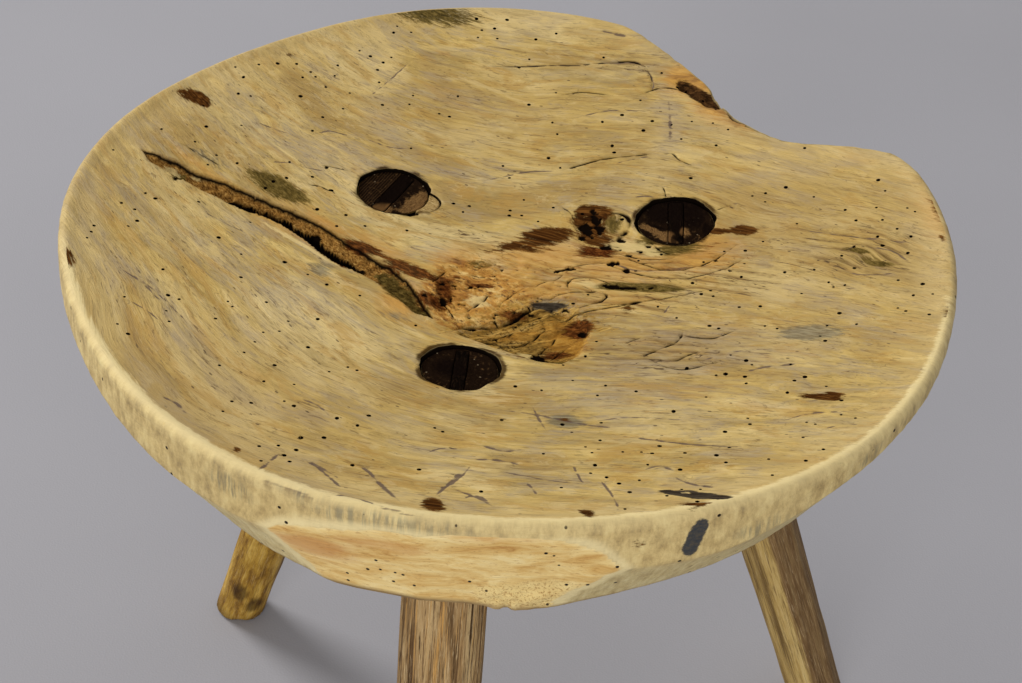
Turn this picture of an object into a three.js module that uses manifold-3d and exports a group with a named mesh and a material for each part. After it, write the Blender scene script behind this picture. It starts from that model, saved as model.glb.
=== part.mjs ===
// Milking stool: a dished slab seat on three splayed legs, with wedged through tenons.
// Millimetres, +Z up, floor at Z = 0, +X to the sitter's right and +Y to the back.

import * as THREE from 'three';
import { mergeVertices } from 'three/addons/utils/BufferGeometryUtils.js';
import Module from 'manifold-3d';

const wasm = await Module();
wasm.setup();

// Seat slab
const rimHeight = 310;
const seatRadius = 180;
const slabThickness = 52;
const dishDepth = 21;
const rimRound = 3.5;
const bandHeight = 22;
const undercut = 21;
const lowerRound = 4;

// The upright band is tallest at the front, and bevelled away more elsewhere: azimuth and share of its height
const bandShares = [
  [0, 0.36],
  [205, 0.72],
  [230, 1],
  [296, 1],
  [312, 0.55],
  [325, 0.36],
  [360, 0.36],
];

// The rim was shaped by hand, so it wanders in and out of the circle.
const rimWander = 1.8;
const rimWanderWaves = 5;
const rimWanderAzimuth = 97;

// Bay in the rim, where the tree's own edge ran: azimuth and how far in from the circle
const bayEdge = [
  [79, -1],
  [74, 4],
  [66, 15],
  [58, 25],
  [52, 34],
  [45, 36.5],
  [38, 32.5],
  [32, 18],
  [26, 4],
  [21, -1.5],
];
const bayAzimuth = 45;
const bayFlare = 8;

// Flat left by the axe on the lower front edge
const facetAzimuth = 265.5;
const facetLean = 22;
const facetTop = 6;
const facetInset = 2.5;

// Drying split: it starts inside the rim and ends near the middle; its widest part and its depth
const splitStartAzimuth = 164;
const splitStartInset = 22;
const splitEndAzimuth = 226;
const splitEndReach = 46;
const splitWidth = 10;
const splitDepth = 8;
const splitOpensBy = 0.25;
const splitClosesFrom = 0.85;

// Hollow worn into the soft heart of the tree
const heartAzimuth = 283;
const heartReach = 30;
const heartLength = 62;
const heartWidth = 40;
const heartDepth = 3;

// Joints
const fitClearance = 0.3;
const tenonRecess = 1.5;
const tenonRoot = 12;
const wedgeDepth = 22;
const wedgeTip = 1.2;

// Packing sliver beside the left tenon
const shimRadius = 6.5;
const shimReach = 14;
const shimAzimuth = 338;
const shimDepth = 20;
const shimRecess = 0.8;

// Each leg: where its tenon comes out on the dish, measured in from the rim, how it leans, its
// thickness under the seat and at the foot, and the wedge in its end
const legs = {
  left: {
    tenonAzimuth: 136.3,
    tenonInset: 109.7,
    lean: 17.2,
    splayAzimuth: 147.4,
    tenonDiameter: 29.5,
    topDiameter: 30.5,
    footDiameter: 24.6,
    wedgeAzimuth: 66,
    wedgeThickness: 6,
  },
  right: {
    tenonAzimuth: 29.7,
    tenonInset: 102.2,
    lean: 18.9,
    splayAzimuth: 12.3,
    tenonDiameter: 31,
    topDiameter: 33,
    footDiameter: 26.6,
    wedgeAzimuth: 88,
    wedgeThickness: 6,
  },
  front: {
    tenonAzimuth: 256.9,
    tenonInset: 108.1,
    lean: 14.8,
    splayAzimuth: 268.7,
    tenonDiameter: 29.8,
    topDiameter: 34.4,
    footDiameter: 34,
    wedgeAzimuth: 88,
    wedgeThickness: 5,
  },
};

// The right leg is a split billet: its section as azimuth and share of its half thickness
const splitBillet = [
  [0, 1.03],
  [48, 1.0],
  [97, 1.04],
  [140, 0.98],
  [188, 1.02],
  [236, 0.99],
  [274, 1.04],
  [318, 1.0],
];

// The front leg is hewn square with broad bevels: depth over width, and the bevel
const hewnDepthShare = 0.86;
const hewnBevelShare = 0.24;

// How finely the round surfaces are divided
const seatSegments = 108;
const dishRings = 9;
const roundSteps = 3;
const baySteps = 4;
const splitSteps = 8;
const heartSegments = 32;
const tenonSegments = 24;
const branchSegments = 20;

// Length past a surface that a cut or a blank reaches
const overrun = 30;

const materials = {
  seat: new THREE.MeshStandardMaterial({ color: 0xcdb07a, roughness: 0.72, metalness: 0 }),
  left: new THREE.MeshStandardMaterial({ color: 0x8d6336, roughness: 0.68, metalness: 0 }),
  right: new THREE.MeshStandardMaterial({ color: 0x9c7a4c, roughness: 0.74, metalness: 0 }),
  front: new THREE.MeshStandardMaterial({ color: 0x7d6449, roughness: 0.8, metalness: 0 }),
  wedge: new THREE.MeshStandardMaterial({ color: 0x33241c, roughness: 0.78, metalness: 0 }),
  shim: new THREE.MeshStandardMaterial({ color: 0xc2a264, roughness: 0.76, metalness: 0 }),
};

function radians(degrees) {
  return THREE.MathUtils.degToRad(degrees);
}

function polar(azimuth, reach, z = 0) {
  return new THREE.Vector3(reach * Math.cos(radians(azimuth)), reach * Math.sin(radians(azimuth)), z);
}

// Solids and meshes

function solidOf(geometry) {
  geometry.deleteAttribute('normal');
  geometry.deleteAttribute('uv');
  const merged = mergeVertices(geometry, 1e-4);
  const corners = merged.index.array;
  const kept = [];
  for (let i = 0; i < corners.length; i += 3) {
    const [a, b, c] = [corners[i], corners[i + 1], corners[i + 2]];
    if (a !== b && b !== c && c !== a) kept.push(a, b, c);
  }
  return new wasm.Manifold(new wasm.Mesh({
    numProp: 3,
    vertProperties: new Float32Array(merged.attributes.position.array),
    triVerts: new Uint32Array(kept),
  }));
}

function meshOf(name, solid, material, placement = new THREE.Matrix4()) {
  const { vertProperties, triVerts } = solid.getMesh();
  const geometry = new THREE.BufferGeometry();
  geometry.setAttribute('position', new THREE.BufferAttribute(new Float32Array(vertProperties), 3));
  geometry.setIndex(new THREE.BufferAttribute(new Uint32Array(triVerts), 1));
  geometry.applyMatrix4(placement.clone().invert());
  geometry.computeVertexNormals();
  const mesh = new THREE.Mesh(geometry, material);
  mesh.name = name;
  placement.decompose(mesh.position, mesh.quaternion, mesh.scale);
  return mesh;
}

// Turned about Z from points of radius and height that run from the axis round to the axis
function turned(points, segments = seatSegments) {
  const geometry = new THREE.LatheGeometry(points, segments);
  geometry.rotateX(Math.PI / 2);
  return geometry;
}

// Seat

function dishHeight(reach) {
  const share = Math.min(1, reach / seatRadius);
  return rimHeight - dishDepth * (1 - share * share);
}

function dishPoints(lowered, outerReach) {
  const points = [];
  for (let ring = 0; ring <= dishRings; ring += 1) {
    const reach = outerReach * ring / dishRings;
    points.push(new THREE.Vector2(reach, dishHeight(reach) - lowered));
  }
  return points;
}

function cornerPoints(centreReach, centreHeight, radius, from, to) {
  const points = [];
  for (let step = 0; step <= roundSteps; step += 1) {
    const turn = radians(THREE.MathUtils.lerp(from, to, step / roundSteps));
    points.push(new THREE.Vector2(
      centreReach + radius * Math.cos(turn),
      centreHeight + radius * Math.sin(turn),
    ));
  }
  return points;
}

// Height of the band's lower edge at an azimuth in degrees
function bandFoot(azimuth) {
  const turn = THREE.MathUtils.euclideanModulo(azimuth, 360);
  const next = bandShares.findIndex(([at]) => at > turn);
  const [from, low] = bandShares[next - 1];
  const [to, high] = bandShares[next];
  return rimHeight - bandHeight * THREE.MathUtils.mapLinear(turn, from, to, low, high);
}

function seatBlank() {
  const underside = rimHeight - slabThickness;
  const sideLean = THREE.MathUtils.radToDeg(Math.atan2(undercut, slabThickness - bandHeight));
  const profile = [
    ...dishPoints(0, seatRadius - 2 * rimRound),
    ...cornerPoints(seatRadius - rimRound, rimHeight - rimRound, rimRound, 90, 0),
    new THREE.Vector2(seatRadius, rimHeight - bandHeight),
    ...cornerPoints(seatRadius - undercut - lowerRound, underside + lowerRound, lowerRound, -sideLean, -90),
    new THREE.Vector2(0, underside),
  ];
  const geometry = turned(profile.reverse());
  const position = geometry.attributes.position;
  for (let i = 0; i < position.count; i += 1) {
    const azimuth = Math.atan2(position.getY(i), position.getX(i));
    const waves = Math.cos(rimWanderWaves * (azimuth - radians(rimWanderAzimuth)));
    const share = Math.hypot(position.getX(i), position.getY(i)) / seatRadius;
    const grow = 1 + waves * share * share * rimWander / seatRadius;
    position.setXY(i, position.getX(i) * grow, position.getY(i) * grow);
    const onBandFoot = Math.abs(position.getZ(i) - rimHeight + bandHeight) < 0.001 && share > 0.99;
    if (onBandFoot) position.setZ(i, bandFoot(THREE.MathUtils.radToDeg(azimuth)));
  }
  return solidOf(geometry);
}

// Everything outside the bay's curve, wider below because the tree's edge flares outwards
function bayCutter() {
  const along = bayEdge.map(([azimuth, inset]) => {
    const point = polar(azimuth, seatRadius - inset);
    return new THREE.Vector2(point.x, point.y);
  });
  const shape = new THREE.Shape();
  shape.moveTo(along[0].x, along[0].y);
  shape.splineThru(along.slice(1));
  const outside = seatRadius + overrun;
  const last = polar(bayEdge.at(-1)[0], outside);
  shape.lineTo(last.x, last.y);
  shape.absarc(0, 0, outside, radians(bayEdge.at(-1)[0]), radians(bayEdge[0][0]), false);
  shape.closePath();
  const depth = slabThickness + 2 * overrun;
  const geometry = new THREE.ExtrudeGeometry(shape, { depth, bevelEnabled: false, curveSegments: baySteps });
  geometry.translate(0, 0, rimHeight - slabThickness - overrun);
  const position = geometry.attributes.position;
  const flare = polar(bayAzimuth, bayFlare);
  for (let i = 0; i < position.count; i += 1) {
    const drop = (rimHeight - position.getZ(i)) / slabThickness;
    position.setXY(i, position.getX(i) + flare.x * drop, position.getY(i) + flare.y * drop);
  }
  return solidOf(geometry);
}

function facetCutter() {
  const width = 2 * seatRadius;
  const geometry = new THREE.BoxGeometry(overrun, width, 4 * slabThickness);
  geometry.translate(overrun / 2, 0, 0);
  geometry.rotateY(radians(facetLean));
  geometry.translate(seatRadius - facetInset, 0, rimHeight - facetTop);
  geometry.rotateZ(radians(facetAzimuth));
  return solidOf(geometry);
}

// A long leaf in plan, sloped so that its floor follows the dish
function splitCutter() {
  const startReach = seatRadius - splitStartInset;
  const start = polar(splitStartAzimuth, startReach, dishHeight(startReach));
  const end = polar(splitEndAzimuth, splitEndReach, dishHeight(splitEndReach));
  const run = end.clone().sub(start);
  const length = run.length();
  const leaf = new THREE.Shape();
  leaf.moveTo(0, 0);
  const bulge = splitWidth * 2 / 3;
  const [near, far] = [length * splitOpensBy, length * splitClosesFrom];
  leaf.bezierCurveTo(near, -bulge, far, -bulge, length, 0);
  leaf.bezierCurveTo(far, bulge, near, bulge, 0, 0);
  const depth = splitDepth + overrun;
  const geometry = new THREE.ExtrudeGeometry(leaf, { depth, bevelEnabled: false, curveSegments: splitSteps });
  const along = run.normalize();
  const across = new THREE.Vector3(0, 0, 1).cross(along).normalize();
  const up = along.clone().cross(across);
  geometry.translate(0, 0, -splitDepth);
  geometry.applyMatrix4(new THREE.Matrix4().makeBasis(along, across, up).setPosition(start));
  return solidOf(geometry);
}

function heartCutter() {
  const geometry = new THREE.SphereGeometry(0.5, heartSegments, heartSegments / 2);
  geometry.scale(heartLength, heartWidth, 2 * heartDepth);
  const centre = polar(heartAzimuth, heartReach, dishHeight(heartReach));
  geometry.translate(centre.x, centre.y, centre.z);
  return solidOf(geometry);
}

// Legs

// Frame of a leg: origin at the middle of its foot, Z up its axis, X towards the given azimuth
function legFrame(leg, azimuth) {
  const reach = seatRadius - leg.tenonInset;
  const tenon = polar(leg.tenonAzimuth, reach, dishHeight(reach));
  const sideways = polar(leg.splayAzimuth, tenon.z * Math.tan(radians(leg.lean)));
  const foot = new THREE.Vector3(tenon.x + sideways.x, tenon.y + sideways.y, 0);
  const up = tenon.clone().sub(foot).normalize();
  const facing = polar(azimuth, 1);
  const x = facing.sub(up.clone().multiplyScalar(facing.dot(up))).normalize();
  const y = up.clone().cross(x);
  return {
    matrix: new THREE.Matrix4().makeBasis(x, y, up).setPosition(foot),
    length: tenon.distanceTo(foot),
  };
}

function cylinderBetween(low, high, radius, segments, centreReach = 0) {
  const geometry = new THREE.CylinderGeometry(radius, radius, high - low, segments);
  geometry.rotateX(Math.PI / 2);
  geometry.translate(centreReach, 0, (low + high) / 2);
  return geometry;
}

function placed(geometry, matrix) {
  geometry.applyMatrix4(matrix);
  return solidOf(geometry);
}

// Length along the axis, from the foot, at which a leg meets the seat's underside
function shoulderLength(leg) {
  return (rimHeight - slabThickness) / Math.cos(radians(leg.lean));
}

function tenonSolid(leg, grow) {
  const { matrix, length } = legFrame(leg, leg.wedgeAzimuth);
  const low = shoulderLength(leg) - tenonRoot - grow;
  const radius = leg.tenonDiameter / 2 + grow;
  return placed(cylinderBetween(low, length + overrun, radius, tenonSegments), matrix);
}

// A leg's half thickness at a distance up its axis from the foot
function halfThickness(leg, distance) {
  return THREE.MathUtils.lerp(leg.footDiameter, leg.topDiameter, distance / shoulderLength(leg)) / 2;
}

// Round branch that thickens towards the seat
function branchGeometry(leg, top) {
  const low = -overrun;
  const [above, below] = [halfThickness(leg, top), halfThickness(leg, low)];
  const geometry = new THREE.CylinderGeometry(above, below, top - low, branchSegments);
  geometry.rotateX(Math.PI / 2);
  geometry.translate(0, 0, (top + low) / 2);
  return geometry;
}

// Section drawn as corners, thickening from the foot to the seat
function hewnGeometry(leg, top, corners) {
  const shape = new THREE.Shape(corners);
  const geometry = new THREE.ExtrudeGeometry(shape, { depth: top + overrun, bevelEnabled: false });
  geometry.translate(0, 0, -overrun);
  const position = geometry.attributes.position;
  for (let i = 0; i < position.count; i += 1) {
    const size = halfThickness(leg, position.getZ(i));
    position.setXY(i, position.getX(i) * size, position.getY(i) * size);
  }
  return geometry;
}

function billetCorners() {
  return splitBillet.map(([azimuth, share]) => {
    const point = polar(azimuth, share);
    return new THREE.Vector2(point.x, point.y);
  });
}

function squareCorners() {
  const half = hewnDepthShare;
  const bevel = hewnBevelShare * 2;
  return [
    new THREE.Vector2(half, -1 + bevel),
    new THREE.Vector2(half, 1 - bevel),
    new THREE.Vector2(half - bevel, 1),
    new THREE.Vector2(bevel - half, 1),
    new THREE.Vector2(-half, 1 - bevel),
    new THREE.Vector2(-half, bevel - 1),
    new THREE.Vector2(bevel - half, -1),
    new THREE.Vector2(half - bevel, -1),
  ];
}

function legSolid(leg, blank) {
  const kerf = wedgeSolid(leg, fitClearance);
  return blank
    .intersect(belowUnderside)
    .add(tenonSolid(leg, 0))
    .intersect(belowDish(tenonRecess))
    .intersect(aboveFloor)
    .subtract(kerf);
}

// A wedge lies along the leg frame's X and narrows downwards. Grown, it is the kerf that takes it.
function wedgeSolid(leg, grow) {
  const { matrix, length } = legFrame(leg, leg.wedgeAzimuth);
  const topHalf = leg.wedgeThickness / 2 + grow;
  const tipHalf = wedgeTip / 2 + grow;
  const flare = (topHalf - tipHalf) / wedgeDepth;
  const shape = new THREE.Shape([
    new THREE.Vector2(-tipHalf, -wedgeDepth - grow),
    new THREE.Vector2(tipHalf, -wedgeDepth - grow),
    new THREE.Vector2(topHalf + flare * overrun, overrun),
    new THREE.Vector2(-topHalf - flare * overrun, overrun),
  ]);
  const depth = leg.tenonDiameter + overrun;
  const geometry = new THREE.ExtrudeGeometry(shape, { depth, bevelEnabled: false });
  geometry.translate(0, 0, -depth / 2);
  geometry.rotateX(Math.PI / 2);
  geometry.rotateZ(Math.PI / 2);
  geometry.translate(0, 0, length);
  return placed(geometry, matrix);
}

function shimCylinder(grow) {
  const { matrix, length } = legFrame(legs.left, shimAzimuth);
  const low = length - shimDepth - grow;
  return placed(cylinderBetween(low, length + overrun, shimRadius + grow, branchSegments, shimReach), matrix);
}

// Trimming blocks

function blockBetween(low, high) {
  const side = 4 * seatRadius;
  const geometry = new THREE.BoxGeometry(side, side, high - low);
  geometry.translate(0, 0, (low + high) / 2);
  return solidOf(geometry);
}

function belowDish(lowered) {
  const profile = [
    ...dishPoints(lowered, seatRadius),
    new THREE.Vector2(2 * seatRadius, rimHeight - lowered),
    new THREE.Vector2(2 * seatRadius, -overrun),
    new THREE.Vector2(0, -overrun),
  ];
  return solidOf(turned(profile.reverse()));
}

const aboveFloor = blockBetween(0, rimHeight + overrun);
const belowUnderside = blockBetween(-2 * overrun, rimHeight - slabThickness - fitClearance);

// Assembly

const stool = new THREE.Group();

let seat = seatBlank()
  .subtract(bayCutter())
  .subtract(facetCutter())
  .subtract(splitCutter())
  .subtract(heartCutter());
for (const leg of Object.values(legs)) seat = seat.subtract(tenonSolid(leg, fitClearance));
seat = seat.subtract(shimCylinder(fitClearance));
stool.add(meshOf('seat', seat, materials.seat, new THREE.Matrix4().makeTranslation(0, 0, rimHeight)));

const blanks = {
  left: (leg, frame, top) => placed(branchGeometry(leg, top), frame),
  right: (leg, frame, top) => placed(hewnGeometry(leg, top, billetCorners()), frame),
  front: (leg, frame, top) => placed(hewnGeometry(leg, top, squareCorners()), frame),
};
for (const [side, leg] of Object.entries(legs)) {
  const frame = legFrame(leg, leg.splayAzimuth).matrix;
  const top = shoulderLength(leg) + leg.tenonDiameter;
  const blank = blanks[side](leg, frame, top);
  stool.add(meshOf(`leg_${side}`, legSolid(leg, blank), materials[side], frame));
}

for (const [side, leg] of Object.entries(legs)) {
  const wedge = wedgeSolid(leg, 0).intersect(tenonSolid(leg, 0)).intersect(belowDish(tenonRecess));
  const frame = legFrame(leg, leg.wedgeAzimuth).matrix;
  stool.add(meshOf(`wedge_${side}`, wedge, materials.wedge, frame));
}

const shim = shimCylinder(0).subtract(tenonSolid(legs.left, fitClearance)).intersect(belowDish(shimRecess));
stool.add(meshOf('shim_left', shim, materials.shim, legFrame(legs.left, shimAzimuth).matrix));

// The origin is the middle of the box's floor.
const box = new THREE.Box3().setFromObject(stool, true);
const middle = box.getCenter(new THREE.Vector3());
stool.position.set(-middle.x, -middle.y, -box.min.z);
stool.updateMatrixWorld(true);

export default stool;
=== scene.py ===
import math

import bpy
import numpy as np
from mathutils import Matrix, Vector
from mathutils.geometry import delaunay_2d_cdt

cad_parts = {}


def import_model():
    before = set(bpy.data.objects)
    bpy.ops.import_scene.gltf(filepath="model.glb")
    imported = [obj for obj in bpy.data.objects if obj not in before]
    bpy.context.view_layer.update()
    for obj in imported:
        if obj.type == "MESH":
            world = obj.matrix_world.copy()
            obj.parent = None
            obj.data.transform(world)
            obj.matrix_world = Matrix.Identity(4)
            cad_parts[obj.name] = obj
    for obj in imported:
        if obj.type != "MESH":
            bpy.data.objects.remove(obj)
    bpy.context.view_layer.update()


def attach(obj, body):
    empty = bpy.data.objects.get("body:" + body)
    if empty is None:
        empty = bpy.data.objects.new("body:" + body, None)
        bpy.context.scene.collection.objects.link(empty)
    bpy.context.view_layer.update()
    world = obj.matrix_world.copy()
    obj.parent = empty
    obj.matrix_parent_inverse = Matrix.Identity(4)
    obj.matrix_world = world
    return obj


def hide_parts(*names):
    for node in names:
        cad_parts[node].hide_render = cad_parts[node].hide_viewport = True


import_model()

# Shapes are worked out in millimetres in the seat's own frame: the middle of the seat's circle, on the floor.
MM = 0.001
SEAT_CENTRE = (0.724, -1.457)
BODY = "root"

# Seat slab
RIM_HEIGHT = 310
SEAT_RADIUS = 180
SLAB = 52
DISH_DEPTH = 21
RIM_ROUND = 3.5
BAND = 22
# Share of the band's height by azimuth
BAND_SHARES = [(0, 0.36), (205, 0.72), (230, 1), (296, 1), (312, 0.55), (325, 0.36), (360, 0.36)]
UNDERCUT = 21
LOWER_ROUND = 4
UNDERSIDE = RIM_HEIGHT - SLAB
RIM_WANDER = 1.8
RIM_WANDER_WAVES = 5
RIM_WANDER_AZIMUTH = 97
BAY_EDGE = [
    (79, -1), (74, 4), (66, 15), (58, 25), (52, 34), (45, 36.5), (38, 32.5), (32, 18), (26, 4), (21, -1.5),
]
BAY_AZIMUTH = 45
BAY_FLARE = 8
BAY_ROUND = 1.5
FACET_AZIMUTH = 265.5
FACET_LEAN = 18.6
FACET_TOP = 6
FACET_INSET = 2.5
# The axe cut isn't quite flat: how far it swells out at each turn from its middle, in degrees and millimetres
FACET_SWELL = [(-24, -4.6), (-20, -3.8), (-12, 0.2), (-4, 2.5), (3, 1.2), (8.6, -0.6), (12, -1.9), (17, -2.9),
               (22, -2.4)]
# The same for its upper part only
FACET_ARCH = [(-26, 1.9), (-16, 1.8), (-6, 0.6), (6, 0.2), (14, -0.8), (22, -1.2)]
# The lower edge is uneven: its reach by azimuth, before its corner is rounded
LOWER_EDGE = [(0, 155), (60, 157), (120, 156), (180, 155), (219, 155), (232, 157), (240, 160), (247, 162),
              (253, 168), (265, 169), (273, 169), (279, 165), (285, 161), (291, 158), (300, 155), (313, 152),
              (333, 153), (360, 155)]

# Joints
CLEARANCE = 0.3
TENON_RECESS = 1.5
WEDGE_DEPTH = 22
WEDGE_TIP = 1.2
KERF_END = 0.8
SHIM_RADIUS = 6.5
SHIM_REACH = 14
SHIM_AZIMUTH = 338
SHIM_DEPTH = 20
SHIM_RECESS = 0.8

LEGS = {
    "left": dict(tenon_azimuth=136.3, tenon_reach=70.3, lean=17.2, splay=147.4, tenon=29.5, top=30.5,
                 foot=24.6, wedge_azimuth=66, wedge=6),
    "right": dict(tenon_azimuth=29.7, tenon_reach=77.8, lean=18.9, splay=12.3, tenon=31, top=33,
                  foot=26.6, wedge_azimuth=88, wedge=6),
    "front": dict(tenon_azimuth=256.9, tenon_reach=71.9, lean=14.8, splay=268.7, tenon=29.8, top=34.4,
                  foot=34, wedge_azimuth=88, wedge=5),
}
BILLET = [(0, 1.03), (48, 1.0), (97, 1.04), (140, 0.98), (188, 1.02), (236, 0.99), (274, 1.04), (318, 1.0)]
HEWN_DEPTH = 0.86
HEWN_BEVEL = 0.24

# Camera: the photograph's frame in pixels, the focal length in pixels, and where it stands
IMAGE_WIDTH = 1022
IMAGE_HEIGHT = 683
FOCAL = 2413
SENSOR = 36
CAMERA = np.array([2.479, -798.049, 857.463])
CAMERA_DOWN = math.radians(37.114)
CAMERA_ROLL = math.radians(3.687)


# Numbers

def smooth(low, high, x):
    t = np.clip((np.asarray(x, float) - low) / (high - low), 0, 1)
    return t * t * (3 - 2 * t)


def lerp(a, b, t):
    return a + (b - a) * t


def softmin(a, b, k):
    """The lower of two values, rounded where they change places."""
    low = np.minimum(a, b)
    return low - k * np.log(np.exp(-(a - low) / k) + np.exp(-(b - low) / k))


def polar(azimuth, reach):
    turn = np.radians(azimuth)
    return np.stack([reach * np.cos(turn), reach * np.sin(turn)], -1)


def turn_from(azimuth, middle):
    """Turn in degrees from the middle to an azimuth, -180 to 180."""
    return (azimuth - middle + 180) % 360 - 180


def turned(x, y, degrees):
    """The places seen from axes that are turned by so much."""
    c, s = math.cos(math.radians(degrees)), math.sin(math.radians(degrees))
    return x * c + y * s, y * c - x * s


def turns(count):
    """Evenly spaced turns in degrees, all round."""
    return np.arange(count) * 360 / count


def softened(values, times):
    """A closed row of values, evened out so many times."""
    for _ in range(times):
        values = (np.roll(values, 1) + 2 * values + np.roll(values, -1)) / 4
    return values


def hashed(ix, iy, iz, seed):
    """A number from -1 to 1 for each whole place, the same in every run."""
    h = (ix * 374761393 + iy * 668265263 + iz * 1440662683 + seed * 974634777) & 0xFFFFFFFF
    h = ((h ^ (h >> 13)) * 1274126177) & 0xFFFFFFFF
    return ((h ^ (h >> 16)) & 0xFFFF) / 32767.5 - 1


def noise(x, y, z=0.0, seed=0):
    """Smooth noise from -1 to 1."""
    x, y, z = np.broadcast_arrays(np.asarray(x, float), np.asarray(y, float), np.asarray(z, float))
    fx, fy, fz = np.floor(x), np.floor(y), np.floor(z)
    ix, iy, iz = fx.astype(np.int64), fy.astype(np.int64), fz.astype(np.int64)
    u, v, w = (t * t * (3 - 2 * t) for t in (x - fx, y - fy, z - fz))
    total = 0
    for a in (0, 1):
        for b in (0, 1):
            for c in (0, 1):
                share = (u if a else 1 - u) * (v if b else 1 - v) * (w if c else 1 - w)
                total = total + share * hashed(ix + a, iy + b, iz + c, seed)
    return total


def fractal(x, y, z=0.0, octaves=3, seed=0):
    """Noise with finer and weaker noises added to it."""
    total, size, scale = 0, 1.0, 1.0
    for k in range(octaves):
        total = total + size * noise(x * scale, y * scale, z * scale, seed + 17 * k)
        size *= 0.5
        scale *= 2.03
    return total


# Pixels of the photograph to places on the seat

def camera_axes():
    """The camera's right, up and back."""
    s, c = math.sin(CAMERA_DOWN), math.cos(CAMERA_DOWN)
    right, up, back = np.array([1, 0, 0]), np.array([0, s, c]), np.array([0, -c, s])
    sr, cr = math.sin(CAMERA_ROLL), math.cos(CAMERA_ROLL)
    return cr * right + sr * up, cr * up - sr * right, back


def sight(pixels):
    """The direction in which each pixel of the photograph looks."""
    p = np.atleast_2d(np.array(pixels, float))
    x_axis, y_axis, back = camera_axes()
    x = (p[:, 0] - IMAGE_WIDTH / 2) / FOCAL
    y = (IMAGE_HEIGHT / 2 - p[:, 1]) / FOCAL
    return x[:, None] * x_axis + y[:, None] * y_axis - back


def dish(x, y):
    """Height of the smooth dish."""
    share = np.clip(np.hypot(x, y) / SEAT_RADIUS, 0, 1)
    return RIM_HEIGHT - DISH_DEPTH * (1 - share * share)


def on_dish(pixels):
    """Where the lines of sight meet the dish."""
    way = sight(pixels)
    height = np.full(len(way), RIM_HEIGHT - DISH_DEPTH / 2)
    for _ in range(12):
        t = (height - CAMERA[2]) / way[:, 2]
        spot = CAMERA + way * t[:, None]
        height = dish(spot[:, 0], spot[:, 1])
    return spot[:, :2]


def on_band(pixels):
    """Where the line of sight meets the upright band of the seat's near side: azimuth and height."""
    way = sight(pixels)
    a = way[:, 0] ** 2 + way[:, 1] ** 2
    b = CAMERA[0] * way[:, 0] + CAMERA[1] * way[:, 1]
    c = CAMERA[0] ** 2 + CAMERA[1] ** 2 - SEAT_RADIUS ** 2
    t = (-b - np.sqrt(np.maximum(b * b - a * c, 0))) / a
    spot = CAMERA + way * t[:, None]
    return np.degrees(np.arctan2(spot[:, 1], spot[:, 0])) % 360, spot[:, 2]


# Lines

def distance_to_line(x, y, line):
    """Distance of each point to a line of straight pieces, and how far along it that is, 0 to 1."""
    best = np.full(x.shape, 1e9)
    along = np.zeros(x.shape)
    steps = np.hypot(*np.diff(line, axis=0).T)
    ends = np.concatenate([[0], np.cumsum(steps)])
    for k, length in enumerate(steps):
        a, d = line[k], (line[k + 1] - line[k]) / max(length, 1e-9)
        t = np.clip((x - a[0]) * d[0] + (y - a[1]) * d[1], 0, length)
        far = np.hypot(x - a[0] - t * d[0], y - a[1] - t * d[1])
        near = far < best
        best = np.where(near, far, best)
        along = np.where(near, (ends[k] + t) / ends[-1], along)
    return best, along


def resampled(line, step):
    """The line with points about a step apart."""
    lengths = np.concatenate([[0], np.cumsum(np.hypot(*np.diff(line, axis=0).T))])
    count = max(2, int(round(lengths[-1] / step)) + 1)
    at = np.linspace(0, lengths[-1], count)
    return np.stack([np.interp(at, lengths, line[:, 0]), np.interp(at, lengths, line[:, 1])], -1)


def curved(line, steps=6):
    """A smooth run through the points."""
    p = np.concatenate([[2 * line[0] - line[1]], line, [2 * line[-1] - line[-2]]])
    out = []
    for k in range(1, len(p) - 2):
        a, b, c, d = p[k - 1:k + 3]
        for t in np.arange(steps) / steps:
            out.append(0.5 * (2 * b + (c - a) * t + (2 * a - 5 * b + 4 * c - d) * t * t
                              + (3 * b - a - 3 * c + d) * t ** 3))
    out.append(p[-2])
    return np.array(out)


def normals(line):
    """Directions square to a line, one for each of its points."""
    way = np.gradient(line, axis=0)
    return np.stack([-way[:, 1], way[:, 0]], -1) / np.linalg.norm(way, axis=1)[:, None]


def inside_polygon(x, y, polygon):
    inside = np.zeros(x.shape, bool)
    x0, y0 = polygon[-1]
    for x1, y1 in polygon:
        if y0 != y1:
            crosses = ((y0 > y) != (y1 > y)) & (x < (x1 - x0) * (y - y0) / (y1 - y0) + x0)
            inside ^= crosses
        x0, y0 = x1, y1
    return inside


def polygon_depth(x, y, line):
    """How far inside a closed line a point is, in millimetres, below 0 outside."""
    away, _ = distance_to_line(x, y, np.concatenate([line, line[:1]]))
    return np.where(inside_polygon(x, y, line), away, -away)


# Closed meshes from loops of points

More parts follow.
